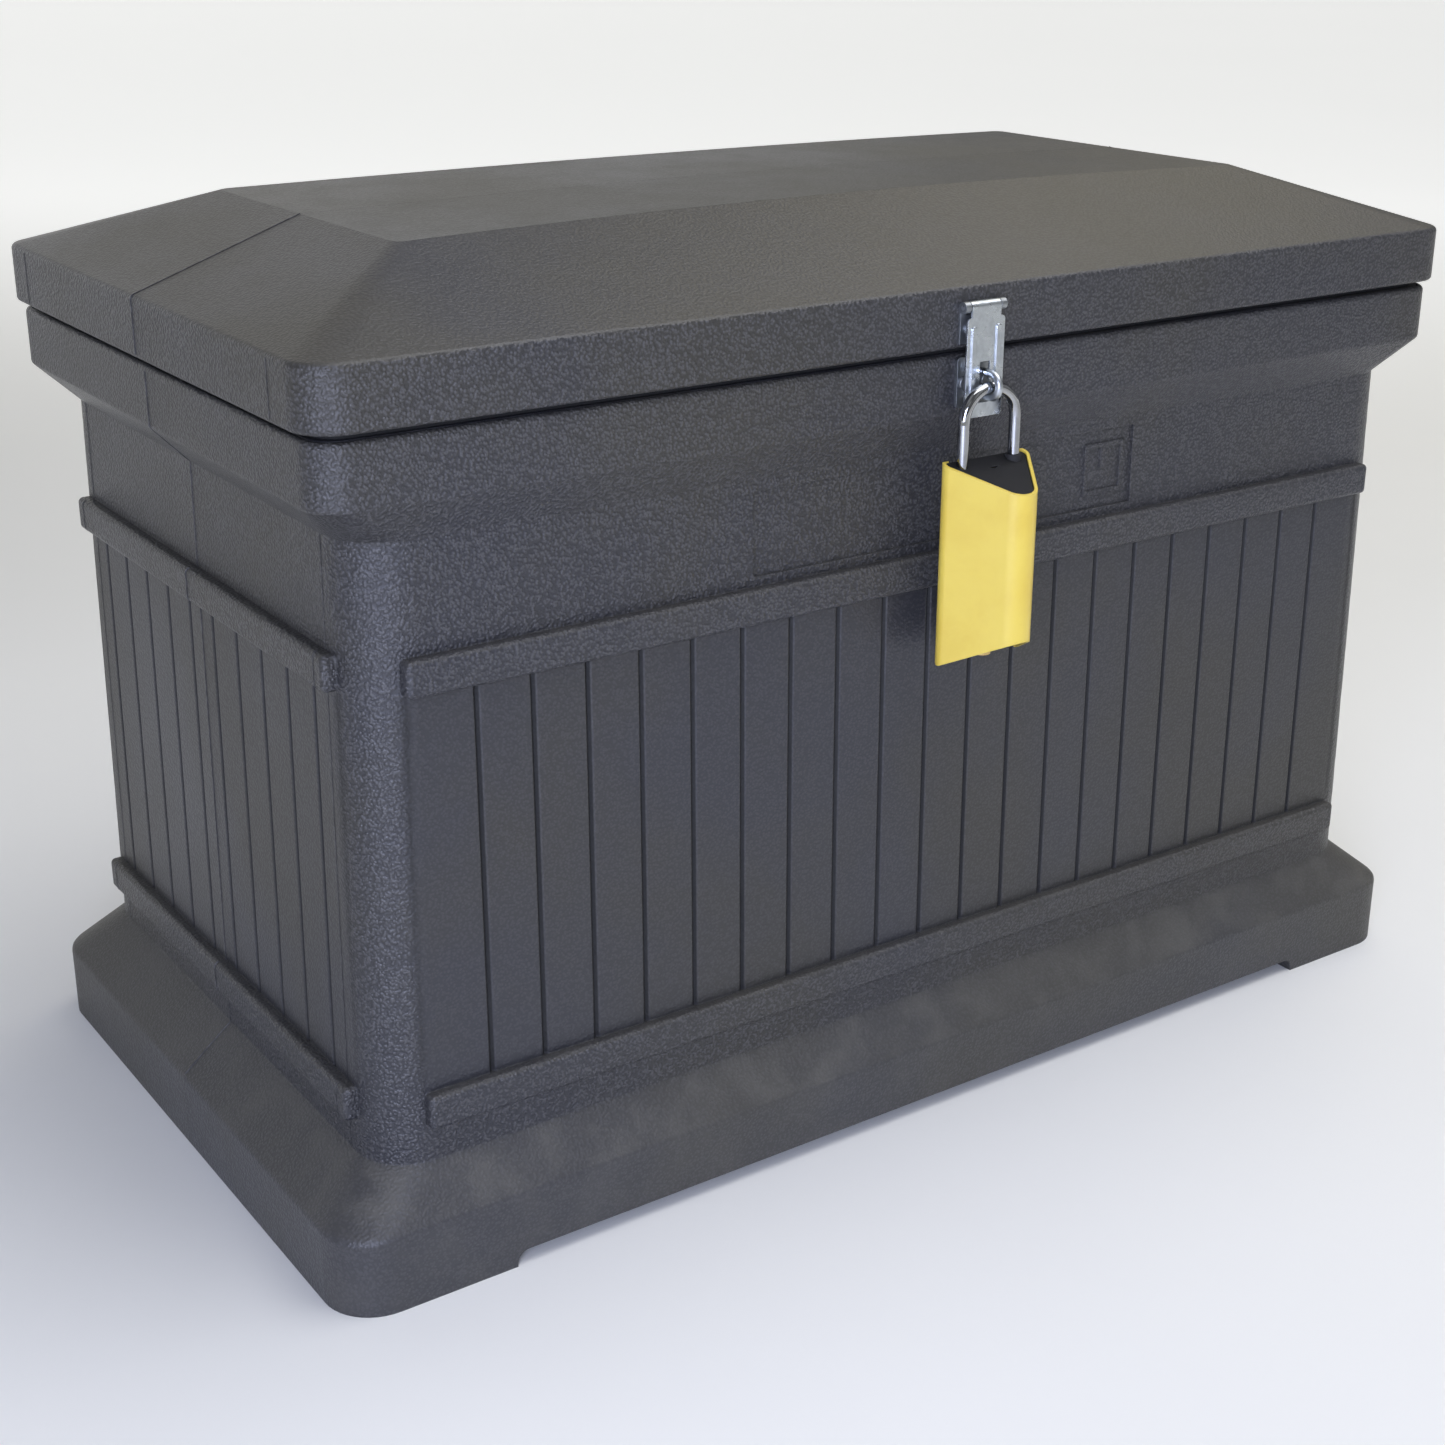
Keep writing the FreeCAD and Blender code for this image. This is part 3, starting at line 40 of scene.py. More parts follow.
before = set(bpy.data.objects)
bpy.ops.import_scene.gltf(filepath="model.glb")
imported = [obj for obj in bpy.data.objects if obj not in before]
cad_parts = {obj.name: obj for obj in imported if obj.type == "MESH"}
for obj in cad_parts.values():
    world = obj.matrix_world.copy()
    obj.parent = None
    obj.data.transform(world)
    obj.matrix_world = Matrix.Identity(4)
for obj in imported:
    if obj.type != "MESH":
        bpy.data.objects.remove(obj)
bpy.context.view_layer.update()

LID_LOW, LID_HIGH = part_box("lid_shell")
BODY_LOW, BODY_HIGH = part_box("body_shell")
SEAL_LOW, SEAL_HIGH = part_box("lid_seal")
SEAL_WIDTH = 0.012
SEAL_CORNER = 0.018

FLOOR_SIZE = 60.0
FLOOR_BACK = 8.0  # how far the floor's middle lies behind the box
FLOOR_FAR_EDGE = FLOOR_BACK + FLOOR_SIZE / 2
SWEEP_HEIGHT = 14.0
SWEEP_RADIUS = 6.0
NEAR = 0.01  # tolerance for picking the floor's edges

# The floor glows behind the box, as the camera looks, and far out all round.
GLOW_TONE = (0.62, 0.62, 0.61, 1.0)
GLOW_TOWARDS = (0.58, 0.81, 0.0)
GLOW_BEHIND = (1.0, 5.0)
GLOW_AWAY = (2.6, 8.0)

AIR_TONE = (0.96, 0.98, 1.0, 1.0)
AIR_STRENGTH = (0.34, 0.60)  # at the level, and overhead
AIR_PATCHES = (0.35, 1.0)  # the air's dimmest and brightest patches
AIR_SEEN = 0.80  # strength where the camera sees the air itself

# Each lamp: name, place, the point it faces, width and height, watts, colour.
LAMPS = [
    ("cool_front_left", (-1.75, -2.05, 0.95), (-0.25, -0.1, 0.40), (1.0, 1.3), 52.0, (0.68, 0.74, 1.0)),
    ("warm_right", (2.4, 1.3, 2.7), (0.2, 0.0, 0.5), (1.6, 1.6), 9.0, (1.0, 0.90, 0.62)),
    ("warm_back", (0.3, 3.4, 3.0), (-0.2, 0.0, 0.5), (2.0, 1.4), 3.0, (1.0, 0.86, 0.52)),
    ("top_soft", (0.9, -0.7, 3.5), (0.0, 0.0, 0.0), (3.4, 3.2), 92.0, (0.98, 0.98, 1.0)),
]


# ---------------------------------------------------------------- settings
class ShellSettings(bpy.types.PropertyGroup):
    """Tones and grain of the moulded skins"""

    plastic: bpy.props.FloatVectorProperty(
        name="Plastic", description="Main tone of the graphite polyethylene",
        subtype="COLOR", size=3, min=0, max=1, default=(0.027, 0.028, 0.036))
    plastic_warm: bpy.props.FloatVectorProperty(
        name="Warm cloud", description="Warmer tone that clouds through the plastic",
        subtype="COLOR", size=3, min=0, max=1, default=(0.036, 0.034, 0.030))
    # Pale tone for wear and scratches; on the shell's edges and pebble tops it also paints highlights.
    rubbed_and_highlight: bpy.props.FloatVectorProperty(
        name="Rubbed tone", description="Pale tone of rubbed edges and scratches",
        subtype="COLOR", size=3, min=0, max=1, default=(0.125, 0.124, 0.130))
    # Dust tone; on the ledges and the lid's upward faces it also paints top light.
    dust_and_top_light_tone: bpy.props.FloatVectorProperty(
        name="Dust", description="Dust that settles on the plinth, the ledges and the lid",
        subtype="COLOR", size=3, min=0, max=1, default=(0.115, 0.110, 0.098))
    pebble_size: bpy.props.FloatProperty(
        name="Pebble size", description="Width of one pebble of the moulded grain",
        subtype="DISTANCE", unit="LENGTH", min=0.0002, default=0.0021)
    pebble_depth: bpy.props.FloatProperty(
        name="Pebble depth", description="Depth of the moulded grain",
        subtype="DISTANCE", unit="LENGTH", min=0, default=0.00095)
    edge_softness: bpy.props.FloatProperty(
        name="Edge softness", description="Radius over which moulded edges look rounded",
        subtype="DISTANCE", unit="LENGTH", min=0, default=0.0020)
    # Reach of the painted shade that darkens creases and grooves.
    shade_reach: bpy.props.FloatProperty(
        name="Shade reach", description="How wide a groove still gathers grime",
        subtype="DISTANCE", unit="LENGTH", min=0, default=0.0060)


class SeamSettings(bpy.types.PropertyGroup):
    """Raised lines that the mould leaves"""

    parting_width: bpy.props.FloatProperty(
        name="Parting width", description="Foot width of the main parting line",
        subtype="DISTANCE", unit="LENGTH", default=0.0012)
    parting_proud: bpy.props.FloatProperty(
        name="Parting height", description="How far the main parting line stands out",
        subtype="DISTANCE", unit="LENGTH", default=0.00042)
    insert_width: bpy.props.FloatProperty(
        name="Insert line width", description="Foot width of the lines near the corners",
        subtype="DISTANCE", unit="LENGTH", default=0.0009)
    insert_proud: bpy.props.FloatProperty(
        name="Insert line height", description="How far the corner lines stand out",
        subtype="DISTANCE", unit="LENGTH", default=0.0002)
    insert_from_corner: bpy.props.FloatProperty(
        name="Insert line place", description="Distance from the lid's front face to the corner line",
        subtype="DISTANCE", unit="LENGTH", default=0.053)


class SealSettings(bpy.types.PropertyGroup):
    """Soft ring between the tub and the lid"""

    bead_radius: bpy.props.FloatProperty(
        name="Bead rounding", description="Rounding of the seal's two beads",
        subtype="DISTANCE", unit="LENGTH", default=0.0016)
    channel_depth: bpy.props.FloatProperty(
        name="Channel depth", description="Depth of the channel between the beads",
        subtype="DISTANCE", unit="LENGTH", default=0.0022)
    rubber: bpy.props.FloatVectorProperty(
        name="Rubber", description="Tone of the soft rubber",
        subtype="COLOR", size=3, min=0, max=1, default=(0.018, 0.018, 0.019))


class MetalSettings(bpy.types.PropertyGroup):
    """Tones of the metal hardware"""

    zinc: bpy.props.FloatVectorProperty(
        name="Zinc", description="Bright zinc plate",
        subtype="COLOR", size=3, min=0, max=1, default=(0.62, 0.66, 0.70))
    dull_zinc: bpy.props.FloatVectorProperty(
        name="Dull zinc", description="Tone of the zinc behind the strap and in the ground",
        subtype="COLOR", size=3, min=0, max=1, default=(0.36, 0.38, 0.40))
    chrome: bpy.props.FloatVectorProperty(
        name="Chrome", description="Polished plate of the padlock's bar",
        subtype="COLOR", size=3, min=0, max=1, default=(0.46, 0.47, 0.49))
    brass: bpy.props.FloatVectorProperty(
        name="Brass", description="Turned brass of the key plug",
        subtype="COLOR", size=3, min=0, max=1, default=(0.72, 0.52, 0.22))


class LockSettings(bpy.types.PropertyGroup):
    """Tones of the padlock's jacket and core"""

    jacket: bpy.props.FloatVectorProperty(
        name="Jacket", description="Yellow jacket",
        subtype="COLOR", size=3, min=0, max=1, default=(0.84, 0.645, 0.110))
    core: bpy.props.FloatVectorProperty(
        name="Core", description="Black core",
        subtype="COLOR", size=3, min=0, max=1, default=(0.009, 0.009, 0.010))


class StudioSettings(bpy.types.PropertyGroup):
    """Camera, floor and lamps"""

    camera_place: bpy.props.FloatVectorProperty(
        name="Camera place", description="Where the camera stands",
        subtype="TRANSLATION", unit="LENGTH", size=3, default=(-0.99259, -1.41801, 0.90318))
    camera_yaw: bpy.props.FloatProperty(
        name="Camera turn", description="Turn of the view to the right of straight back",
        subtype="ANGLE", unit="ROTATION", default=math.radians(35.395))
    camera_pitch: bpy.props.FloatProperty(
        name="Camera tilt", description="Tilt of the view below the level",
        subtype="ANGLE", unit="ROTATION", default=math.radians(-20.636))
    camera_roll: bpy.props.FloatProperty(
        name="Camera roll", description="Roll of the camera about its view",
        subtype="ANGLE", unit="ROTATION", default=math.radians(0.519))
    lens: bpy.props.FloatProperty(
        name="Lens", description="Focal length on a 36 mm wide sensor",
        subtype="DISTANCE_CAMERA", default=54.583)
    shift_x: bpy.props.FloatProperty(
        name="Shift across", description="Sideways shift of the lens", default=-0.0289)
    shift_y: bpy.props.FloatProperty(
        name="Shift up", description="Upward shift of the lens", default=-0.0172)
    floor_tone: bpy.props.FloatVectorProperty(
        name="Floor", description="Pale studio floor",
        subtype="COLOR", size=3, min=0, max=1, default=(0.90, 0.90, 0.88))
    ambient: bpy.props.FloatProperty(
        name="Ambient", description="Strength of the light from all round",
        min=0, default=0.62)


SETTINGS = {
    "drop_box_shell": ShellSettings,
    "drop_box_seam": SeamSettings,
    "drop_box_seal": SealSettings,
    "drop_box_metal": MetalSettings,
    "drop_box_lock": LockSettings,
    "drop_box_studio": StudioSettings,
}


# ---------------------------------------------------------------- node helpers
def supply(tree, socket, value):
    """Link another node's output to a socket, or set its value."""
    if isinstance(value, bpy.types.NodeSocket):
        tree.links.new(value, socket)
    else:
        socket.default_value = value


def put(tree, kind, sockets=None, **settings):
    """A node with its settings, and with values or links on its sockets."""
    made = tree.nodes.new(kind)
    for key, value in settings.items():
        setattr(made, key, value)
    for key, value in (sockets or {}).items():
        supply(tree, made.inputs[key], value)
    return made


def math_node(tree, operation, first, second=0.0, clamp=False):
    """Result of one arithmetic step on one or two values."""
    made = put(tree, "ShaderNodeMath", {0: first, 1: second}, operation=operation, use_clamp=clamp)
    return made.outputs[0]


def blend_colour(tree, share, first, second):
    """Two colours blended by a share."""
    made = put(tree, "ShaderNodeMix", {0: share, 6: first, 7: second}, data_type="RGBA")
    return made.outputs[2]


def blend_value(tree, share, first, second):
    """Two values blended by a share."""
    made = put(tree, "ShaderNodeMix", {0: share, 2: first, 3: second}, data_type="FLOAT")
    return made.outputs[0]


def spread(tree, value, low, high, to_low=0.0, to_high=1.0, smooth=True):
    """A value remapped from one range to another and held at its ends."""
    made = put(tree, "ShaderNodeMapRange", {
        "Value": value, "From Min": low, "From Max": high, "To Min": to_low, "To Max": to_high,
    })
    made.interpolation_type = "SMOOTHSTEP" if smooth else "LINEAR"
    return made.outputs["Result"]


def rgba(colour):
    """A colour property as four values."""
    return (*colour, 1.0)


def new_group(name, inputs, outputs):
    """An empty shader group with named sockets: its tree, its input node and its output node."""
    tree = bpy.data.node_groups.new(name, "ShaderNodeTree")
    for socket, kind, default in inputs:
        made = tree.interface.new_socket(name=socket, in_out="INPUT", socket_type="NodeSocket" + kind)
        if default is not None:
            made.default_value = default
    for socket, kind in outputs:
        tree.interface.new_socket(name=socket, in_out="OUTPUT", socket_type="NodeSocket" + kind)
    return tree, tree.nodes.new("NodeGroupInput"), tree.nodes.new("NodeGroupOutput")


def use_group(tree, name, sockets):
    """A placed copy of a shared group with its own values."""
    made = tree.nodes.new("ShaderNodeGroup")
    made.node_tree = bpy.data.node_groups[name]
    for key, value in sockets.items():
        supply(tree, made.inputs[key], value)
    return made


def pebble_group():
    """Leathery grain of shallow, uneven pebbles, as a height from 0 to 1."""
    tree, given, result = new_group(
        "Pebble grain",
        [("Vector", "Vector", None), ("Cells", "Float", 800.0)],
        [("Height", "Float")])
    drift = put(tree, "ShaderNodeTexNoise", {"Vector": given.outputs[0], "Scale": 160.0, "Detail": 2.0})
    push = put(tree, "ShaderNodeVectorMath", {
        0: drift.outputs["Color"], 1: (0.0011, 0.0011, 0.0011)}, operation="MULTIPLY")
    moved = put(tree, "ShaderNodeVectorMath", {0: given.outputs[0], 1: push.outputs[0]}, operation="ADD")
    cells = put(tree, "ShaderNodeTexVoronoi", {
        "Vector": moved.outputs[0], "Scale": given.outputs[1], "Smoothness": 0.75}, feature="SMOOTH_F1")
    dome = spread(tree, cells.outputs["Distance"], 0.15, 0.75, 1.0, 0.0)
    fine_scale = math_node(tree, "MULTIPLY", given.outputs[1], 1.9)
    fine = put(tree, "ShaderNodeTexNoise", {
        "Vector": moved.outputs[0], "Scale": fine_scale, "Detail": 3.0, "Roughness": 0.6})
    height = blend_value(tree, 0.38, dome, fine.outputs["Fac"])
    tree.links.new(height, result.inputs[0])


def window_group():
    """Mask that is 1 between two values, with soft ends."""
    tree, given, result = new_group(
        "Window",
        [("Value", "Float", 0.0), ("Low", "Float", 0.0), ("High", "Float", 1.0), ("Soft", "Float", 0.002)],
        [("Mask", "Float")])
    value, low, high, soft = given.outputs[:4]
    rise = spread(tree, value, math_node(tree, "SUBTRACT", low, soft), math_node(tree, "ADD", low, soft))
    fall = spread(
        tree, value, math_node(tree, "SUBTRACT", high, soft), math_node(tree, "ADD", high, soft), 1.0, 0.0)
    tree.links.new(math_node(tree, "MULTIPLY", rise, fall), result.inputs[0])


def edge_group():
    """Softened normal near edges, and a broken mask of the worn ones, which the shell also uses for a
    painted edge highlight.
    """
    tree, given, result = new_group(
        "Rubbed edge",
        [("Vector", "Vector", None), ("Radius", "Float", 0.003), ("Break-up", "Float", 60.0)],
        [("Mask", "Float"), ("Normal", "Vector")])
    soft = put(tree, "ShaderNodeBevel", {"Radius": given.outputs["Radius"]}, samples=6)
    flat = tree.nodes.new("ShaderNodeNewGeometry")
    turn = put(tree, "ShaderNodeVectorMath", {
        0: soft.outputs["Normal"], 1: flat.outputs["Normal"]}, operation="DOT_PRODUCT")
    bend = math_node(tree, "SUBTRACT", 1.0, turn.outputs["Value"])
    edge = spread(tree, bend, 0.015, 0.16)
    patches = put(tree, "ShaderNodeTexNoise", {
        "Vector": given.outputs["Vector"], "Scale": given.outputs["Break-up"], "Detail": 4.0})
    broken = spread(tree, patches.outputs["Fac"], 0.42, 0.66)
    tree.links.new(math_node(tree, "MULTIPLY", edge, broken), result.inputs["Mask"])
    tree.links.new(soft.outputs["Normal"], result.inputs["Normal"])


def cloud_group():
    """Large soft clouds of tone, from 0 to 1."""
    tree, given, result = new_group(
        "Cloudy tone",
        [("Vector", "Vector", None), ("Scale", "Float", 4.0), ("Low", "Float", 0.35),
         ("High", "Float", 0.65)],
        [("Mask", "Float")])
    noise = put(tree, "ShaderNodeTexNoise", {
        "Vector": given.outputs["Vector"], "Scale": given.outputs["Scale"], "Detail": 5.0,
        "Roughness": 0.55, "Distortion": 0.3})
    mask = spread(tree, noise.outputs["Fac"], given.outputs["Low"], given.outputs["High"])
    tree.links.new(mask, result.inputs[0])


def scratch_group():
    """Sparse hairline scratches that run mostly one way."""
    tree, given, result = new_group(
        "Hairlines",
        [("Vector", "Vector", None), ("Cells", "Float", 30.0), ("Stretch", "Vector", (1.0, 1.0, 22.0)),
         ("Turn", "Vector", (0.0, 0.0, 0.0)), ("Share", "Float", 0.5)],
        [("Mask", "Float")])
    laid = put(tree, "ShaderNodeMapping", {
        "Vector": given.outputs["Vector"], "Rotation": given.outputs["Turn"],
        "Scale": given.outputs["Stretch"]})
    lines = put(tree, "ShaderNodeTexNoise", {
        "Vector": laid.outputs[0], "Scale": given.outputs["Cells"], "Detail": 6.0, "Roughness": 0.7})
    hair = spread(tree, lines.outputs["Fac"], 0.645, 0.70)
    patches = put(tree, "ShaderNodeTexNoise", {
        "Vector": given.outputs["Vector"], "Scale": 7.0, "Detail": 2.0})
    limit = math_node(tree, "SUBTRACT", 1.0, given.outputs["Share"])
    where = spread(tree, patches.outputs["Fac"], limit, math_node(tree, "ADD", limit, 0.12))
    tree.links.new(math_node(tree, "MULTIPLY", hair, where), result.inputs[0])


def build_groups():
    """All shared shader groups, once."""
    for build in (pebble_group, window_group, edge_group, cloud_group, scratch_group):
        build()


def new_material(name):
    """A node material with its surface shader, its tree and the object's own coordinates."""
    material = bpy.data.materials.new(name)
    material.use_nodes = True
    tree = material.node_tree
    shader = next(n for n in tree.nodes if n.type == "BSDF_PRINCIPLED")
    place = tree.nodes.new("ShaderNodeTexCoord").outputs["Object"]
    return material, tree, shader, place


def feed(tree, shader, **sockets):
    """Links or values for a shader's sockets, with underscores for spaces."""
    for key, value in sockets.items():
        supply(tree, shader.inputs[key.replace("_", " ")], value)


def bumped(tree, height, depth, normal=None, strength=1.0):
    """Normal of a surface with small relief, from a height of 0 to 1 and its depth in metres."""
    sockets = {"Height": height, "Distance": depth, "Strength": strength}
    if normal is not None:
        sockets["Normal"] = normal
    return put(tree, "ShaderNodeBump", sockets).outputs["Normal"]


def window(tree, value, low, high, soft):
    """Mask from the shared window group."""
    return use_group(tree, "Window", {"Value": value, "Low": low, "High": high, "Soft": soft}).outputs[0]


# ---------------------------------------------------------------- shell materials
PLINTH_TOP = BODY_LOW.z + 0.091
LOWER_RAIL_TOP = BODY_LOW.z + 0.143
UPPER_RAIL_FOOT = BODY_LOW.z + 0.423
SLAT_HALF_X = LID_HIGH.x - 0.059
SLAT_HALF_Y = LID_HIGH.y - 0.050
SKIRT_TOP = LID_LOW.z + 0.042
WALL_TOP = BODY_LOW.z + 0.523
WALL_HALF_X = (LID_HIGH.x - 0.025, LID_HIGH.x - 0.031)  # the wall leans: at its foot, at its top
WALL_HALF_Y = (LID_HIGH.y - 0.016, LID_HIGH.y - 0.019)
FRONT_FACE = (BODY_HIGH.y - 0.062, BODY_HIGH.y - 0.052)  # where a point starts to count as on a face
SIDE_FACE = (BODY_HIGH.x - 0.085, BODY_HIGH.x - 0.060)
SLAT_END_SOFT = 0.006
RAIL_SOFT = 0.001
GROOVE_SINK = (0.0002, 0.0010)  # how far behind the wall's face the painted groove shade starts, and is full
PARTING_HALF = 0.0004  # half width of the parting line's tone
PARTING_SOFT = 0.00035
LINE_FOOT = 0.003  # the raised lines start this far above the lid's lower edge


def slat_masks(tree, across, deep, up):
    """1 on the planks between the rails, and 1 in the grooves between the planks, where shade is painted.
    """
    level = window(tree, up, LOWER_RAIL_TOP, UPPER_RAIL_FOOT, RAIL_SOFT)
    front = window(tree, across, -SLAT_HALF_X, SLAT_HALF_X, SLAT_END_SOFT)
    side = window(tree, deep, -SLAT_HALF_Y, SLAT_HALF_Y, SLAT_END_SOFT)
    on_front = spread(tree, math_node(tree, "ABSOLUTE", deep), *FRONT_FACE)
    on_side = spread(tree, math_node(tree, "ABSOLUTE", across), *SIDE_FACE)
    front_share = math_node(tree, "MULTIPLY", front, on_front)
    side_share = math_node(tree, "MULTIPLY", side, on_side)
    planks = math_node(tree, "MULTIPLY", level, math_node(tree, "MAXIMUM", front_share, side_share))
    rise = spread(tree, up, PLINTH_TOP, WALL_TOP, smooth=False)
    face_y = blend_value(tree, rise, WALL_HALF_Y[0], WALL_HALF_Y[1])
    face_x = blend_value(tree, rise, WALL_HALF_X[0], WALL_HALF_X[1])
    sunk_y = math_node(tree, "SUBTRACT", face_y, math_node(tree, "ABSOLUTE", deep))
    sunk_x = math_node(tree, "SUBTRACT", face_x, math_node(tree, "ABSOLUTE", across))
    sunk_y = math_node(tree, "MULTIPLY", front_share, spread(tree, sunk_y, *GROOVE_SINK))
    sunk_x = math_node(tree, "MULTIPLY", side_share, spread(tree, sunk_x, *GROOVE_SINK))
    grooves = math_node(tree, "MULTIPLY", level, math_node(tree, "MAXIMUM", sunk_y, sunk_x))
    return planks, grooves


def shell_material(name, settings, is_lid):
    """Moulded graphite polyethylene: grain with a painted highlight on each pebble, clouds, parting tone,
    worn edges with a painted edge highlight, settled dirt with painted top light on upward faces, and
    painted shade in creases and grooves.
    """
    material, tree, shader, place = new_material(name)
    axes = put(tree, "ShaderNodeSeparateXYZ", {0: place})
    across, deep, up = axes.outputs
    facing = put(tree, "ShaderNodeSeparateXYZ", {0: tree.nodes["Texture Coordinate"].outputs["Normal"]})
    edges = use_group(tree, "Rubbed edge", {
        "Vector": place, "Radius": settings.edge_softness, "Break-up": 85.0})
    grain = use_group(tree, "Pebble grain", {"Vector": place, "Cells": 1.0 / settings.pebble_size})
    micro = put(tree, "ShaderNodeTexNoise", {"Vector": place, "Scale": 2600.0, "Detail": 2.0})
    clouds = use_group(tree, "Cloudy tone", {"Vector": place, "Scale": 3.2})
    blotches = use_group(tree, "Cloudy tone", {"Vector": place, "Scale": 26.0, "Low": 0.40, "High": 0.72})
    hairs = use_group(tree, "Hairlines", {
        "Vector": place, "Cells": 26.0, "Stretch": (1.0, 7.0, 30.0), "Turn": (0.35, 0.5, 0.2),
        "Share": 0.42})

    if is_lid:
        # Upward faces of the lid, most of all the flat crown, turn towards the dust tone: partly dust,
        # partly painted top light.
        level = spread(tree, facing.outputs["Z"], 0.35, 0.80)
        smooth_share = level
        crown = spread(tree, facing.outputs["Z"], 0.955, 0.990, 0.12, 0.34)
        dust_and_top_light = math_node(tree, "MULTIPLY", level, crown)
    else:
        smooth_share, grooves = slat_masks(tree, across, deep, up)
        plinth = window(tree, up, -1.0, PLINTH_TOP, 0.004)
        smooth_share = math_node(tree, "MAXIMUM", smooth_share, math_node(tree, "MULTIPLY", plinth, 0.75))
        # Upward ledges turn pale, partly dust and partly painted top light; the plinth gets dust.
        upward = spread(tree, facing.outputs["Z"], 0.15, 0.75)
        ledge_dust_and_highlight = math_node(tree, "MULTIPLY", upward, 0.48)
        low_dust = math_node(tree, "MULTIPLY", plinth, 0.42)
        dust_and_top_light = math_node(tree, "ADD", low_dust, ledge_dust_and_highlight, clamp=True)
    patchy = blend_value(tree, blotches.outputs[0], 0.55, 1.25)
    dust_and_top_light = math_node(tree, "MULTIPLY", dust_and_top_light, patchy, clamp=True)

    depth_share = blend_value(tree, smooth_share, 1.0, 0.36)
    relief = blend_value(tree, 0.16, grain.outputs["Height"], micro.outputs["Fac"])
    centred = math_node(tree, "SUBTRACT", relief, 0.5)
    height = math_node(tree, "MULTIPLY", centred, depth_share)
    seam_line = window(tree, deep, -PARTING_HALF, PARTING_HALF, PARTING_SOFT)
    seam_height = math_node(tree, "MULTIPLY", seam_line, 1.1)
    height = math_node(tree, "ADD", height, seam_height)

    half_tone = spread(tree, deep, -0.0015, 0.0015, 0.0, 1.0)
    base = blend_colour(tree, clouds.outputs[0], rgba(settings.plastic), rgba(settings.plastic_warm))
    base = blend_colour(tree, math_node(tree, "MULTIPLY", half_tone, 0.10), base, rgba(settings.dust_and_top_light_tone))
    # Pebble tops turn pale: grain tone with a painted highlight on each pebble.
    grain_tone_and_glint = spread(tree, grain.outputs["Height"], 0.35, 0.80, 0.0, 0.42)
    grain_tone_and_glint = math_node(tree, "MULTIPLY", grain_tone_and_glint, depth_share)
    base = blend_colour(tree, grain_tone_and_glint, base, rgba(settings.rubbed_and_highlight))
    base = blend_colour(tree, math_node(tree, "MULTIPLY", dust_and_top_light, 0.62), base, rgba(settings.dust_and_top_light_tone))
    # Worn edges, scratches and the parting line turn pale; on edges this also paints a highlight.
    wear_and_edge_highlight = math_node(tree, "MULTIPLY", edges.outputs["Mask"], 0.34)
    wear_and_edge_highlight = math_node(tree, "ADD", wear_and_edge_highlight, math_node(tree, "MULTIPLY", hairs.outputs[0], 0.30), clamp=True)
    wear_and_edge_highlight = math_node(tree, "ADD", wear_and_edge_highlight, math_node(tree, "MULTIPLY", seam_line, 0.22), clamp=True)
    base = blend_colour(tree, wear_and_edge_highlight, base, rgba(settings.rubbed_and_highlight))
    # Painted shade: creases found by ambient occlusion, and the slat grooves, blend towards near-black and
    # turn rougher.
    hollows = put(
        tree, "ShaderNodeAmbientOcclusion", {"Distance": settings.shade_reach}, samples=4, only_local=True)
    painted_shade = spread(tree, hollows.outputs["AO"], 0.30, 0.86, 0.92, 0.0)
    if not is_lid:
        painted_shade = math_node(tree, "MAXIMUM", painted_shade, grooves)
    base = blend_colour(tree, painted_shade, base, rgba(tuple(c * 0.16 for c in settings.plastic)))

    gloss = blend_value(tree, clouds.outputs[0], 0.33, 0.41)
    gloss = math_node(tree, "ADD", gloss, math_node(tree, "MULTIPLY", painted_shade, 0.34))
    gloss = math_node(tree, "ADD", gloss, math_node(tree, "MULTIPLY", smooth_share, 0.05))
    gloss = math_node(tree, "ADD", gloss, math_node(tree, "MULTIPLY", dust_and_top_light, 0.22))
    peak_gloss = math_node(tree, "MULTIPLY", grain.outputs["Height"], 0.06)
    gloss = math_node(tree, "SUBTRACT", gloss, peak_gloss, clamp=True)
    normal = bumped(tree, height, settings.pebble_depth, edges.outputs["Normal"])
    feed(tree, shader, Base_Color=base, Roughness=gloss, Normal=normal)
    shader.inputs["IOR"].default_value = 1.52
    shader.inputs["Specular IOR Level"].default_value = 0.55
    return material


def liner_material(settings):
    """Smooth inner polyethylene with faint flow clouds and parcel scuffs."""
    material, tree, shader, place = new_material("liner_polyethylene")
    clouds = use_group(tree, "Cloudy tone", {"Vector": place, "Scale": 5.0})
    hairs = use_group(tree, "Hairlines", {
        "Vector": place, "Cells": 18.0, "Stretch": (14.0, 1.0, 2.0), "Turn": (0.2, 0.1, 0.5),
        "Share": 0.55})
    grain = use_group(tree, "Pebble grain", {"Vector": place, "Cells": 520.0})
    edges = use_group(tree, "Rubbed edge", {"Vector": place, "Radius": 0.002, "Break-up": 50.0})
    base = blend_colour(tree, clouds.outputs[0], rgba(settings.plastic), rgba(settings.plastic_warm))
    marks = math_node(tree, "ADD", math_node(tree, "MULTIPLY", hairs.outputs[0], 0.45),
                      math_node(tree, "MULTIPLY", edges.outputs["Mask"], 0.35), clamp=True)
    base = blend_colour(tree, marks, base, rgba(settings.rubbed_and_highlight))
    gloss = blend_value(tree, clouds.outputs[0], 0.46, 0.58)
    normal = bumped(tree, grain.outputs["Height"], settings.pebble_depth * 0.35, edges.outputs["Normal"])
    feed(tree, shader, Base_Color=base, Roughness=gloss, Normal=normal)
    shader.inputs["IOR"].default_value = 1.52
    return material


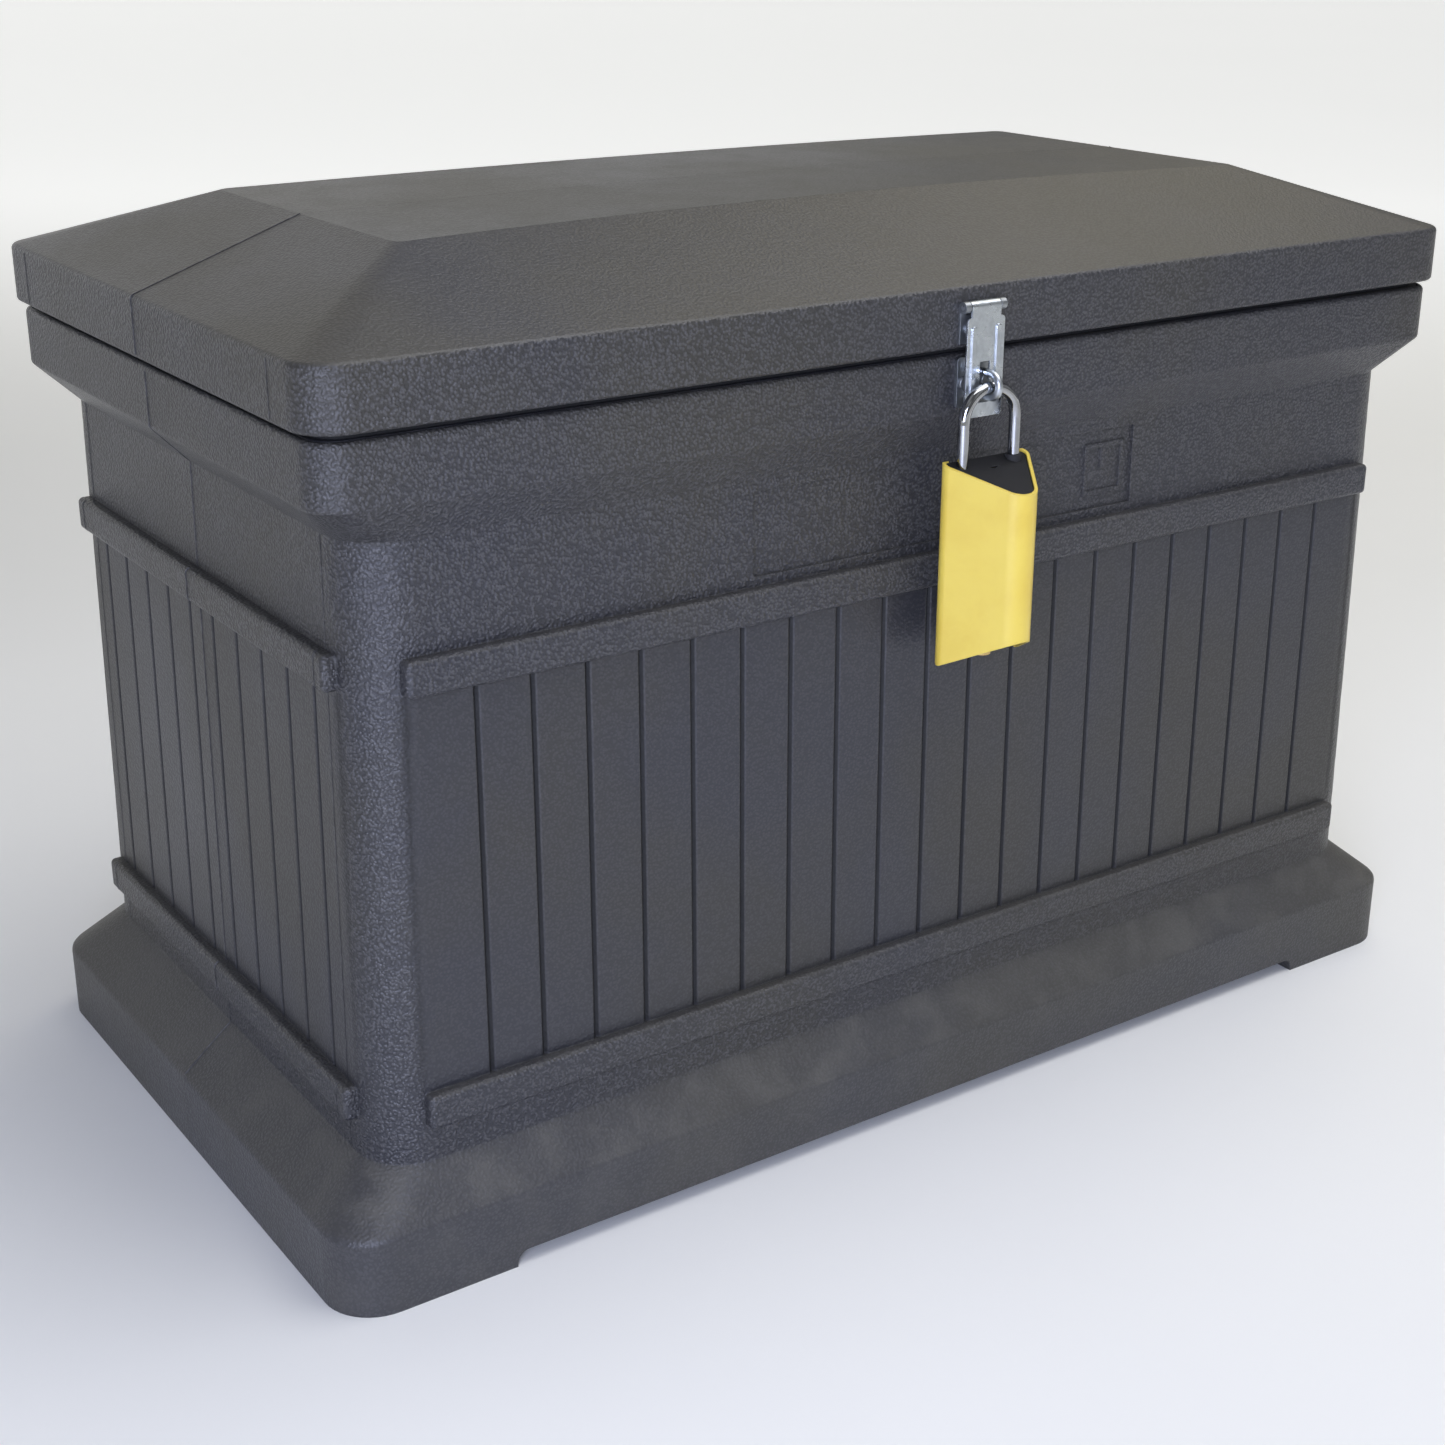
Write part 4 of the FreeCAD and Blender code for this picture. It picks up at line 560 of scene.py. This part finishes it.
def seam_material(settings):
    """Flash of the mould: the shell's plastic, paler and rougher."""
    material, tree, shader, place = new_material("moulding_flash")
    nibbles = use_group(tree, "Cloudy tone", {"Vector": place, "Scale": 140.0, "Low": 0.42, "High": 0.60})
    base = blend_colour(tree, nibbles.outputs[0], rgba(settings.plastic), rgba(settings.rubbed_and_highlight))
    gloss = blend_value(tree, nibbles.outputs[0], 0.42, 0.62)
    normal = bumped(tree, nibbles.outputs[0], 0.00008)
    feed(tree, shader, Base_Color=base, Roughness=gloss, Normal=normal)
    return material


def rubber_material(tone):
    """Soft black rubber with fine pores and pressed marks."""
    material, tree, shader, place = new_material("seal_rubber")
    pores = put(tree, "ShaderNodeTexVoronoi", {"Vector": place, "Scale": 1500.0})
    holes = spread(tree, pores.outputs["Distance"], 0.05, 0.35)
    clouds = use_group(tree, "Cloudy tone", {"Vector": place, "Scale": 40.0})
    paler = tuple(c * 2.1 for c in tone)
    base = blend_colour(tree, clouds.outputs[0], rgba(tone), rgba(paler))
    gloss = blend_value(tree, clouds.outputs[0], 0.68, 0.85)
    feed(tree, shader, Base_Color=base, Roughness=gloss, Normal=bumped(tree, holes, 0.00012))
    return material


# ---------------------------------------------------------------- metal and lock materials
def plated_material(name, tone, rough_low, rough_high, spangle, depth):
    """Plated steel: soft spangle, hairlines, dull patches and bright worn edges."""
    material, tree, shader, place = new_material(name)
    flakes = put(tree, "ShaderNodeTexVoronoi", {"Vector": place, "Scale": spangle, "Randomness": 1.0})
    flake_tone = put(tree, "ShaderNodeSeparateColor", {0: flakes.outputs["Color"]}).outputs[0]
    dull = use_group(tree, "Cloudy tone", {"Vector": place, "Scale": 95.0})
    hairs = use_group(tree, "Hairlines", {
        "Vector": place, "Cells": 90.0, "Stretch": (9.0, 1.0, 1.0), "Turn": (0.0, 0.15, 0.1),
        "Share": 0.62})
    edges = use_group(tree, "Rubbed edge", {"Vector": place, "Radius": 0.0005, "Break-up": 320.0})
    darker = tuple(c * 0.66 for c in tone)
    paler = tuple(min(1.0, c * 1.22) for c in tone)
    base = blend_colour(tree, math_node(tree, "MULTIPLY", dull.outputs[0], 0.55), rgba(tone), rgba(darker))
    base = blend_colour(tree, math_node(tree, "MULTIPLY", flake_tone, 0.22), base, rgba(paler))
    base = blend_colour(tree, math_node(tree, "MULTIPLY", edges.outputs["Mask"], 0.7), base, rgba(paler))
    gloss = blend_value(tree, dull.outputs[0], rough_low, rough_high)
    gloss = math_node(tree, "ADD", gloss, math_node(tree, "MULTIPLY", hairs.outputs[0], 0.14), clamp=True)
    relief = blend_value(tree, 0.45, flake_tone, hairs.outputs[0])
    normal = bumped(tree, relief, depth, edges.outputs["Normal"])
    feed(tree, shader, Base_Color=base, Roughness=gloss, Normal=normal, Metallic=1.0)
    return material


def jacket_material(tone):
    """Yellow jacket of the padlock: satin coat, faint orange peel, tiny knocks on the rims."""
    material, tree, shader, place = new_material("lock_jacket_yellow")
    clouds = use_group(tree, "Cloudy tone", {"Vector": place, "Scale": 24.0})
    peel = put(tree, "ShaderNodeTexNoise", {"Vector": place, "Scale": 900.0, "Detail": 2.0})
    knocks = use_group(tree, "Rubbed edge", {"Vector": place, "Radius": 0.0011, "Break-up": 240.0})
    hairs = use_group(tree, "Hairlines", {
        "Vector": place, "Cells": 60.0, "Stretch": (9.0, 9.0, 1.0), "Turn": (0.1, 0.4, 0.0), "Share": 0.45})
    deeper = (tone[0] * 0.94, tone[1] * 0.90, tone[2] * 0.80)
    worn = (tone[0] * 0.80, tone[1] * 0.74, tone[2] * 0.95)
    base = blend_colour(tree, clouds.outputs[0], rgba(tone), rgba(deeper))
    base = blend_colour(tree, math_node(tree, "MULTIPLY", hairs.outputs[0], 0.30), base, rgba(worn))
    base = blend_colour(tree, math_node(tree, "MULTIPLY", knocks.outputs["Mask"], 0.35), base, rgba(worn))
    gloss = blend_value(tree, clouds.outputs[0], 0.34, 0.43)
    gloss = math_node(tree, "ADD", gloss, math_node(tree, "MULTIPLY", hairs.outputs[0], 0.15), clamp=True)
    normal = bumped(tree, peel.outputs["Fac"], 0.00003, knocks.outputs["Normal"])
    feed(tree, shader, Base_Color=base, Roughness=gloss, Normal=normal)
    shader.inputs["Coat Weight"].default_value = 0.25
    shader.inputs["Coat Roughness"].default_value = 0.28
    return material


def core_material(tone):
    """Matte black core with a fine level milling grain."""
    material, tree, shader, place = new_material("lock_core_black")
    grain = use_group(tree, "Hairlines", {
        "Vector": place, "Cells": 120.0, "Stretch": (1.0, 6.0, 12.0), "Turn": (0.0, 0.0, 0.0),
        "Share": 0.9})
    pebble = use_group(tree, "Pebble grain", {"Vector": place, "Cells": 1900.0})
    edges = use_group(tree, "Rubbed edge", {"Vector": place, "Radius": 0.0008, "Break-up": 260.0})
    clouds = use_group(tree, "Cloudy tone", {"Vector": place, "Scale": 55.0})
    paler = tuple(c * 2.6 for c in tone)
    base = blend_colour(tree, math_node(tree, "MULTIPLY", clouds.outputs[0], 0.35), rgba(tone), rgba(paler))
    base = blend_colour(tree, math_node(tree, "MULTIPLY", edges.outputs["Mask"], 0.5), base, rgba(paler))
    gloss = blend_value(tree, clouds.outputs[0], 0.50, 0.62)
    relief = blend_value(tree, 0.4, pebble.outputs["Height"], grain.outputs[0])
    normal = bumped(tree, relief, 0.00005, edges.outputs["Normal"])
    feed(tree, shader, Base_Color=base, Roughness=gloss, Normal=normal)
    shader.inputs["Specular IOR Level"].default_value = 0.25
    return material


def floor_material(tone):
    """Pale studio floor with a barely uneven tone, which glows far from the box."""
    material, tree, shader, place = new_material("studio_floor_pale")
    clouds = use_group(tree, "Cloudy tone", {"Vector": place, "Scale": 0.8})
    paler = tuple(min(1.0, c * 1.02) for c in tone)
    base = blend_colour(tree, clouds.outputs[0], rgba(tone), rgba(paler))
    speck = put(tree, "ShaderNodeTexNoise", {"Vector": place, "Scale": 350.0, "Detail": 3.0})
    gloss = blend_value(tree, clouds.outputs[0], 0.72, 0.80)
    behind = put(tree, "ShaderNodeVectorMath", {0: place, 1: GLOW_TOWARDS}, operation="DOT_PRODUCT")
    away = put(tree, "ShaderNodeVectorMath", {0: place}, operation="LENGTH")
    far_share = math_node(tree, "MAXIMUM", spread(tree, behind.outputs["Value"], *GLOW_BEHIND),
                          spread(tree, away.outputs["Value"], *GLOW_AWAY))
    glow = blend_colour(tree, far_share, (0.0, 0.0, 0.0, 1.0), GLOW_TONE)
    feed(tree, shader, Base_Color=base, Roughness=gloss, Normal=bumped(tree, speck.outputs["Fac"], 0.00003))
    feed(tree, shader, Emission_Color=glow, Emission_Strength=1.0)
    return material


def finish_nodes(names, material):
    """Give fixed parts their finish."""
    for name in names:
        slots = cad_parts[name].data.materials
        slots.clear()
        slots.append(material)


# ---------------------------------------------------------------- mesh helpers
def deselect():
    """Leave edit mode, with nothing selected."""
    if bpy.context.object and bpy.context.object.mode != "OBJECT":
        bpy.ops.object.mode_set(mode="OBJECT")
    bpy.ops.object.select_all(action="DESELECT")


def make_active(piece):
    """Select one object alone."""
    deselect()
    piece.select_set(True)
    bpy.context.view_layer.objects.active = piece


def choose(piece, kind, test):
    """In edit mode, select only the verts, edges or faces that pass a test.

    The test gets the middle and the normal, or for an edge the middle and its run."""
    bpy.ops.mesh.select_mode(type=kind)
    bpy.ops.mesh.select_all(action="DESELECT")
    mesh = bmesh.from_edit_mesh(piece.data)
    mesh.normal_update()
    if kind == "FACE":
        for face in mesh.faces:
            face.select_set(test(face.calc_center_median(), face.normal))
    elif kind == "EDGE":
        for edge in mesh.edges:
            start, end = (vert.co for vert in edge.verts)
            edge.select_set(test((start + end) / 2, end - start))
    else:
        for vert in mesh.verts:
            vert.select_set(test(vert.co, vert.normal))
    mesh.select_flush_mode()
    bmesh.update_edit_mesh(piece.data)


def copy_of_node(node_name, name):
    """A free, merged copy of a fixed part's mesh, to be reworked into a new piece."""
    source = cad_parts[node_name]
    deselect()
    piece = bpy.data.objects.new(name, source.data.copy())
    bpy.context.scene.collection.objects.link(piece)
    piece.data.name = name
    make_active(piece)
    bpy.ops.object.mode_set(mode="EDIT")
    bpy.ops.mesh.select_mode(type="VERT")
    bpy.ops.mesh.select_all(action="SELECT")
    bpy.ops.mesh.remove_doubles(threshold=0.00002)
    return piece


def cut_strip(place, width):
    """In edit mode, keep only what lies within half a width of a plane across the depth."""
    for side in (1, -1):
        bpy.ops.mesh.select_all(action="SELECT")
        bpy.ops.mesh.bisect(
            plane_co=(0, place + side * width / 2, 0), plane_no=(0, side, 0), clear_outer=True)


def moulding_line(node_name, name, body, place, width, proud, outside):
    """Thin raised line along a moulded skin, where a plane across the depth meets it."""
    piece = copy_of_node(node_name, name)
    cut_strip(place, width)
    choose(piece, "FACE", lambda middle, normal: not outside(middle, normal))
    bpy.ops.mesh.delete(type="FACE")
    bpy.ops.mesh.select_all(action="SELECT")
    bpy.ops.mesh.dissolve_limited(angle_limit=math.radians(1.0))
    bpy.ops.object.mode_set(mode="OBJECT")
    foot_count = len(piece.data.vertices)
    wall = piece.modifiers.new("raise", "SOLIDIFY")
    wall.thickness = proud
    wall.offset = 1.0
    bpy.ops.object.modifier_apply(modifier=wall.name)
    bpy.ops.object.mode_set(mode="EDIT")
    bpy.ops.mesh.select_mode(type="VERT")
    bpy.ops.mesh.select_all(action="DESELECT")
    mesh = bmesh.from_edit_mesh(piece.data)
    mesh.verts.ensure_lookup_table()
    for vert in mesh.verts[foot_count:]:
        vert.select_set(True)
    bmesh.update_edit_mesh(piece.data)
    bpy.ops.transform.resize(value=(1, 0.35, 1), center_override=(0, place, 0))
    bpy.ops.object.mode_set(mode="OBJECT")
    piece.data.materials.clear()
    piece.data.materials.append(bpy.data.materials["moulding_flash"])
    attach(piece, body)
    return piece


def end_faces(low, high, side=0):
    """Test for outward faces of the two ends, or of one, between two heights."""
    def test(middle, normal):
        sign = 1 if middle.x > 0 else -1
        here = side in (0, sign) and low < middle.z < high
        return here and normal.x * sign > 0.2
    return test


# ---------------------------------------------------------------- operators
class DROPBOX_OT_finishes(bpy.types.Operator):
    """Give every fixed part its finish"""

    bl_idname = "dropbox.finishes"
    bl_label = "Finishes"

    def execute(self, context):
        scene = context.scene
        shell, metal, lock = scene.drop_box_shell, scene.drop_box_metal, scene.drop_box_lock
        build_groups()
        seam_material(shell)
        rubber = rubber_material(tuple(scene.drop_box_seal.rubber))
        zinc = plated_material("zinc_plate", tuple(metal.zinc), 0.24, 0.40, 420.0, 0.00002)
        dull_zinc = plated_material("dull_zinc_plate", tuple(metal.dull_zinc), 0.38, 0.55, 240.0, 0.00004)
        finish_nodes(["body_shell"], shell_material("body_polyethylene", shell, False))
        finish_nodes(["lid_shell"], shell_material("lid_polyethylene", shell, True))
        finish_nodes(["inner_tub", "lid_liner"], liner_material(shell))
        finish_nodes(["lid_seal", "shackle_collar"], rubber)
        chrome = plated_material("bar_chrome", tuple(metal.chrome), 0.03, 0.07, 900.0, 0.000002)
        finish_nodes(["shackle"], chrome)
        finish_nodes(["lock_sleeve"], jacket_material(tuple(lock.jacket)))
        finish_nodes(["lock_core", "lock_bottom_cap"], core_material(tuple(lock.core)))
        brass = plated_material("plug_brass", tuple(metal.brass), 0.22, 0.34, 700.0, 0.00001)
        finish_nodes(["lock_plug"], brass)
        behind = ["hasp_leaf", "hasp_bolts", "staple_plate", "staple_bolts"]
        finish_nodes(["anchor_sleeves", *behind], dull_zinc)
        done = {
            "body_shell", "lid_shell", "inner_tub", "lid_liner", "lid_seal", "shackle_collar", "shackle",
            "lock_sleeve", "lock_core", "lock_bottom_cap", "lock_plug", "anchor_sleeves", *behind}
        finish_nodes(sorted(set(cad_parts) - done), zinc)
        return {"FINISHED"}


class DROPBOX_OT_parting_lines(bpy.types.Operator):
    """Raise the main parting line on both ends of the body and the lid"""

    bl_idname = "dropbox.parting_lines"
    bl_label = "Parting lines"

    def execute(self, context):
        seam = context.scene.drop_box_seam
        width, proud = seam.parting_width, seam.parting_proud
        moulding_line(
            "body_shell", "body_parting_line", "box", 0.0, width, proud,
            end_faces(BODY_LOW.z + 0.058, BODY_HIGH.z - 0.004))
        moulding_line(
            "lid_shell", "lid_parting_line", "lid", 0.0, width, proud,
            end_faces(LID_LOW.z + LINE_FOOT, LID_HIGH.z))
        return {"FINISHED"}


class DROPBOX_OT_insert_lines(bpy.types.Operator):
    """Raise the finer mould insert lines near the four corners"""

    bl_idname = "dropbox.insert_lines"
    bl_label = "Insert lines"

    def execute(self, context):
        seam = context.scene.drop_box_seam
        width, proud = seam.insert_width, seam.insert_proud
        place = LID_HIGH.y - seam.insert_from_corner
        for word, sign in (("front", -1), ("back", 1)):
            moulding_line(
                "lid_shell", "lid_insert_line_" + word, "lid", sign * place, width, proud,
                end_faces(LID_LOW.z + LINE_FOOT, SKIRT_TOP - 0.002))
            moulding_line(
                "body_shell", "body_insert_line_" + word, "box", sign * (place - 0.010), width, proud,
                end_faces(PLINTH_TOP, BODY_HIGH.z - 0.070))
        return {"FINISHED"}


class DROPBOX_OT_seal(bpy.types.Operator):
    """Model the soft two-bead seal between the tub and the lid"""

    bl_idname = "dropbox.seal"
    bl_label = "Lid seal"

    def execute(self, context):
        seal = context.scene.drop_box_seal
        middle = (SEAL_LOW + SEAL_HIGH) / 2
        size = SEAL_HIGH - SEAL_LOW
        deselect()
        bpy.ops.mesh.primitive_plane_add(size=1, location=(middle.x, middle.y, SEAL_LOW.z))
        ring = context.object
        ring.name = ring.data.name = "seal_beads"
        ring.scale = (size.x, size.y, 1)
        bpy.ops.object.transform_apply(location=True, rotation=True, scale=True)
        bpy.ops.object.mode_set(mode="EDIT")
        bpy.ops.mesh.select_mode(type="VERT")
        bpy.ops.mesh.select_all(action="SELECT")
        bpy.ops.mesh.bevel(offset=SEAL_CORNER, segments=10, affect="VERTICES")
        bpy.ops.mesh.select_all(action="SELECT")
        bpy.ops.mesh.inset(thickness=SEAL_WIDTH, use_even_offset=True)
        bpy.ops.mesh.delete(type="FACE")
        bpy.ops.mesh.select_all(action="SELECT")
        bpy.ops.mesh.extrude_region_move(TRANSFORM_OT_translate={"value": (0, 0, size.z)})
        bpy.ops.mesh.select_all(action="SELECT")
        bpy.ops.mesh.normals_make_consistent(inside=False)
        top = SEAL_HIGH.z - 0.0001
        choose(ring, "FACE", lambda middle, normal: middle.z > top and normal.z > 0.9)
        bpy.ops.mesh.inset(thickness=SEAL_WIDTH * 0.36, use_even_offset=True)
        bpy.ops.transform.translate(value=(0, 0, -seal.channel_depth))
        choose(ring, "EDGE", lambda middle, along: middle.z > top)
        bpy.ops.mesh.bevel(offset=seal.bead_radius, segments=4, affect="EDGES", clamp_overlap=True)
        bpy.ops.mesh.select_all(action="SELECT")
        bpy.ops.mesh.remove_doubles(threshold=0.00001)
        bpy.ops.mesh.normals_make_consistent(inside=False)
        bpy.ops.object.mode_set(mode="OBJECT")
        bpy.ops.object.shade_smooth_by_angle(angle=math.radians(40))
        ring.data.materials.append(bpy.data.materials["seal_rubber"])
        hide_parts("lid_seal")
        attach(ring, "box")
        return {"FINISHED"}


def area_lamp(name, place, target, size, power, colour):
    """Soft lamp, wide and high as given, that faces a point."""
    deselect()
    bpy.ops.object.light_add(type="AREA", location=place)
    lamp = bpy.context.object
    lamp.name = name
    lamp.data.shape = "RECTANGLE"
    lamp.data.size, lamp.data.size_y = size
    lamp.data.energy = power
    lamp.data.color = colour
    lamp.rotation_euler = (Vector(target) - Vector(place)).to_track_quat("-Z", "Y").to_euler()


class DROPBOX_OT_stage(bpy.types.Operator):
    """Set the floor sweep, the lamps and the camera"""

    bl_idname = "dropbox.stage"
    bl_label = "Studio"

    def execute(self, context):
        studio = context.scene.drop_box_studio
        self.floor(studio)
        self.world(context.scene, studio)
        for lamp in LAMPS:
            area_lamp(*lamp)
        self.camera(context.scene, studio)
        return {"FINISHED"}

    def floor(self, studio):
        """Wide floor with its far edge turned up in a soft sweep."""
        deselect()
        bpy.ops.mesh.primitive_plane_add(size=FLOOR_SIZE, location=(0, FLOOR_BACK, 0))
        floor = bpy.context.object
        floor.name = floor.data.name = "studio_floor"
        bpy.ops.object.transform_apply(location=True, rotation=True, scale=True)
        bpy.ops.object.mode_set(mode="EDIT")
        far = FLOOR_FAR_EDGE - NEAR
        choose(floor, "EDGE", lambda middle, along: middle.y > far)
        bpy.ops.mesh.extrude_region_move(TRANSFORM_OT_translate={"value": (0, 0, SWEEP_HEIGHT)})
        choose(floor, "EDGE", lambda middle, along: middle.y > far and abs(middle.z) < NEAR)
        bpy.ops.mesh.bevel(offset=SWEEP_RADIUS, segments=12, affect="EDGES")
        bpy.ops.mesh.select_all(action="SELECT")
        bpy.ops.mesh.normals_make_consistent(inside=False)
        bpy.ops.object.mode_set(mode="OBJECT")
        bpy.ops.object.shade_smooth()
        floor.data.materials.append(floor_material(tuple(studio.floor_tone)))

    def world(self, scene, studio):
        """Pale patchy light from all round, stronger overhead, and the even tone that the camera sees."""
        world = bpy.data.worlds.new("studio_air")
        world.use_nodes = True
        tree = world.node_tree
        sight = tree.nodes.new("ShaderNodeTexCoord").outputs["Generated"]
        around = put(tree, "ShaderNodeSeparateXYZ", {0: sight})
        height = spread(tree, around.outputs["Z"], -0.05, 0.75)
        cards = put(tree, "ShaderNodeTexNoise", {"Vector": sight, "Scale": 1.6, "Detail": 1.0})
        dim = spread(tree, cards.outputs["Fac"], 0.42, 0.58, *AIR_PATCHES)
        glow = math_node(tree, "MULTIPLY", blend_value(tree, height, *AIR_STRENGTH), dim)
        back = tree.nodes["Background"]
        back.inputs["Color"].default_value = AIR_TONE
        glow = math_node(tree, "MULTIPLY", glow, studio.ambient)
        seen = tree.nodes.new("ShaderNodeLightPath").outputs["Is Camera Ray"]
        tree.links.new(blend_value(tree, seen, glow, AIR_SEEN), back.inputs["Strength"])
        scene.world = world
        scene.view_settings.view_transform = "Standard"

    def camera(self, scene, studio):
        """Camera from its turn, tilt and roll."""
        yaw, pitch, roll = studio.camera_yaw, studio.camera_pitch, studio.camera_roll
        ahead = Vector((
            math.sin(yaw) * math.cos(pitch), math.cos(yaw) * math.cos(pitch), math.sin(pitch)))
        level_right = Vector((math.cos(yaw), -math.sin(yaw), 0))
        level_up = level_right.cross(ahead)
        right = level_right * math.cos(roll) + level_up * math.sin(roll)
        up = level_up * math.cos(roll) - level_right * math.sin(roll)
        deselect()
        bpy.ops.object.camera_add(location=(0, 0, 0))
        camera = bpy.context.object
        camera.name = "studio_camera"
        turn = Matrix((right, up, -ahead)).transposed()
        camera.matrix_world = Matrix.Translation(Vector(studio.camera_place)) @ turn.to_4x4()
        camera.data.sensor_width = 36.0
        camera.data.lens = studio.lens
        camera.data.shift_x = studio.shift_x
        camera.data.shift_y = studio.shift_y
        camera.data.clip_end = 200
        scene.camera = camera


class DROPBOX_PT_panel(bpy.types.Panel):
    """Lists the drop box's settings and steps"""

    bl_idname = "DROPBOX_PT_panel"
    bl_label = "Drop Box"
    bl_space_type = "VIEW_3D"
    bl_region_type = "UI"
    bl_category = "Drop Box"

    def draw(self, context):
        for step in STEPS:
            self.layout.operator(step.bl_idname)
        for name, group in SETTINGS.items():
            box = self.layout.box()
            box.label(text=group.__doc__)
            for key in group.__annotations__:
                box.prop(getattr(context.scene, name), key)


STEPS = [
    DROPBOX_OT_finishes,
    DROPBOX_OT_parting_lines,
    DROPBOX_OT_insert_lines,
    DROPBOX_OT_seal,
    DROPBOX_OT_stage,
]


def register():
    """Add the settings, the operators and the panel."""
    for name, group in SETTINGS.items():
        bpy.utils.register_class(group)
        setattr(bpy.types.Scene, name, bpy.props.PointerProperty(type=group))
    for made in [*STEPS, DROPBOX_PT_panel]:
        bpy.utils.register_class(made)


def unregister():
    """Take them away again."""
    for made in reversed([*STEPS, DROPBOX_PT_panel]):
        bpy.utils.unregister_class(made)
    for name, group in SETTINGS.items():
        delattr(bpy.types.Scene, name)
        bpy.utils.unregister_class(group)


def main():
    """Run every step in order."""
    register()
    bpy.ops.dropbox.finishes()
    bpy.ops.dropbox.parting_lines()
    bpy.ops.dropbox.insert_lines()
    bpy.ops.dropbox.seal()
    bpy.ops.dropbox.stage()


if __name__ == "__main__":
    main()
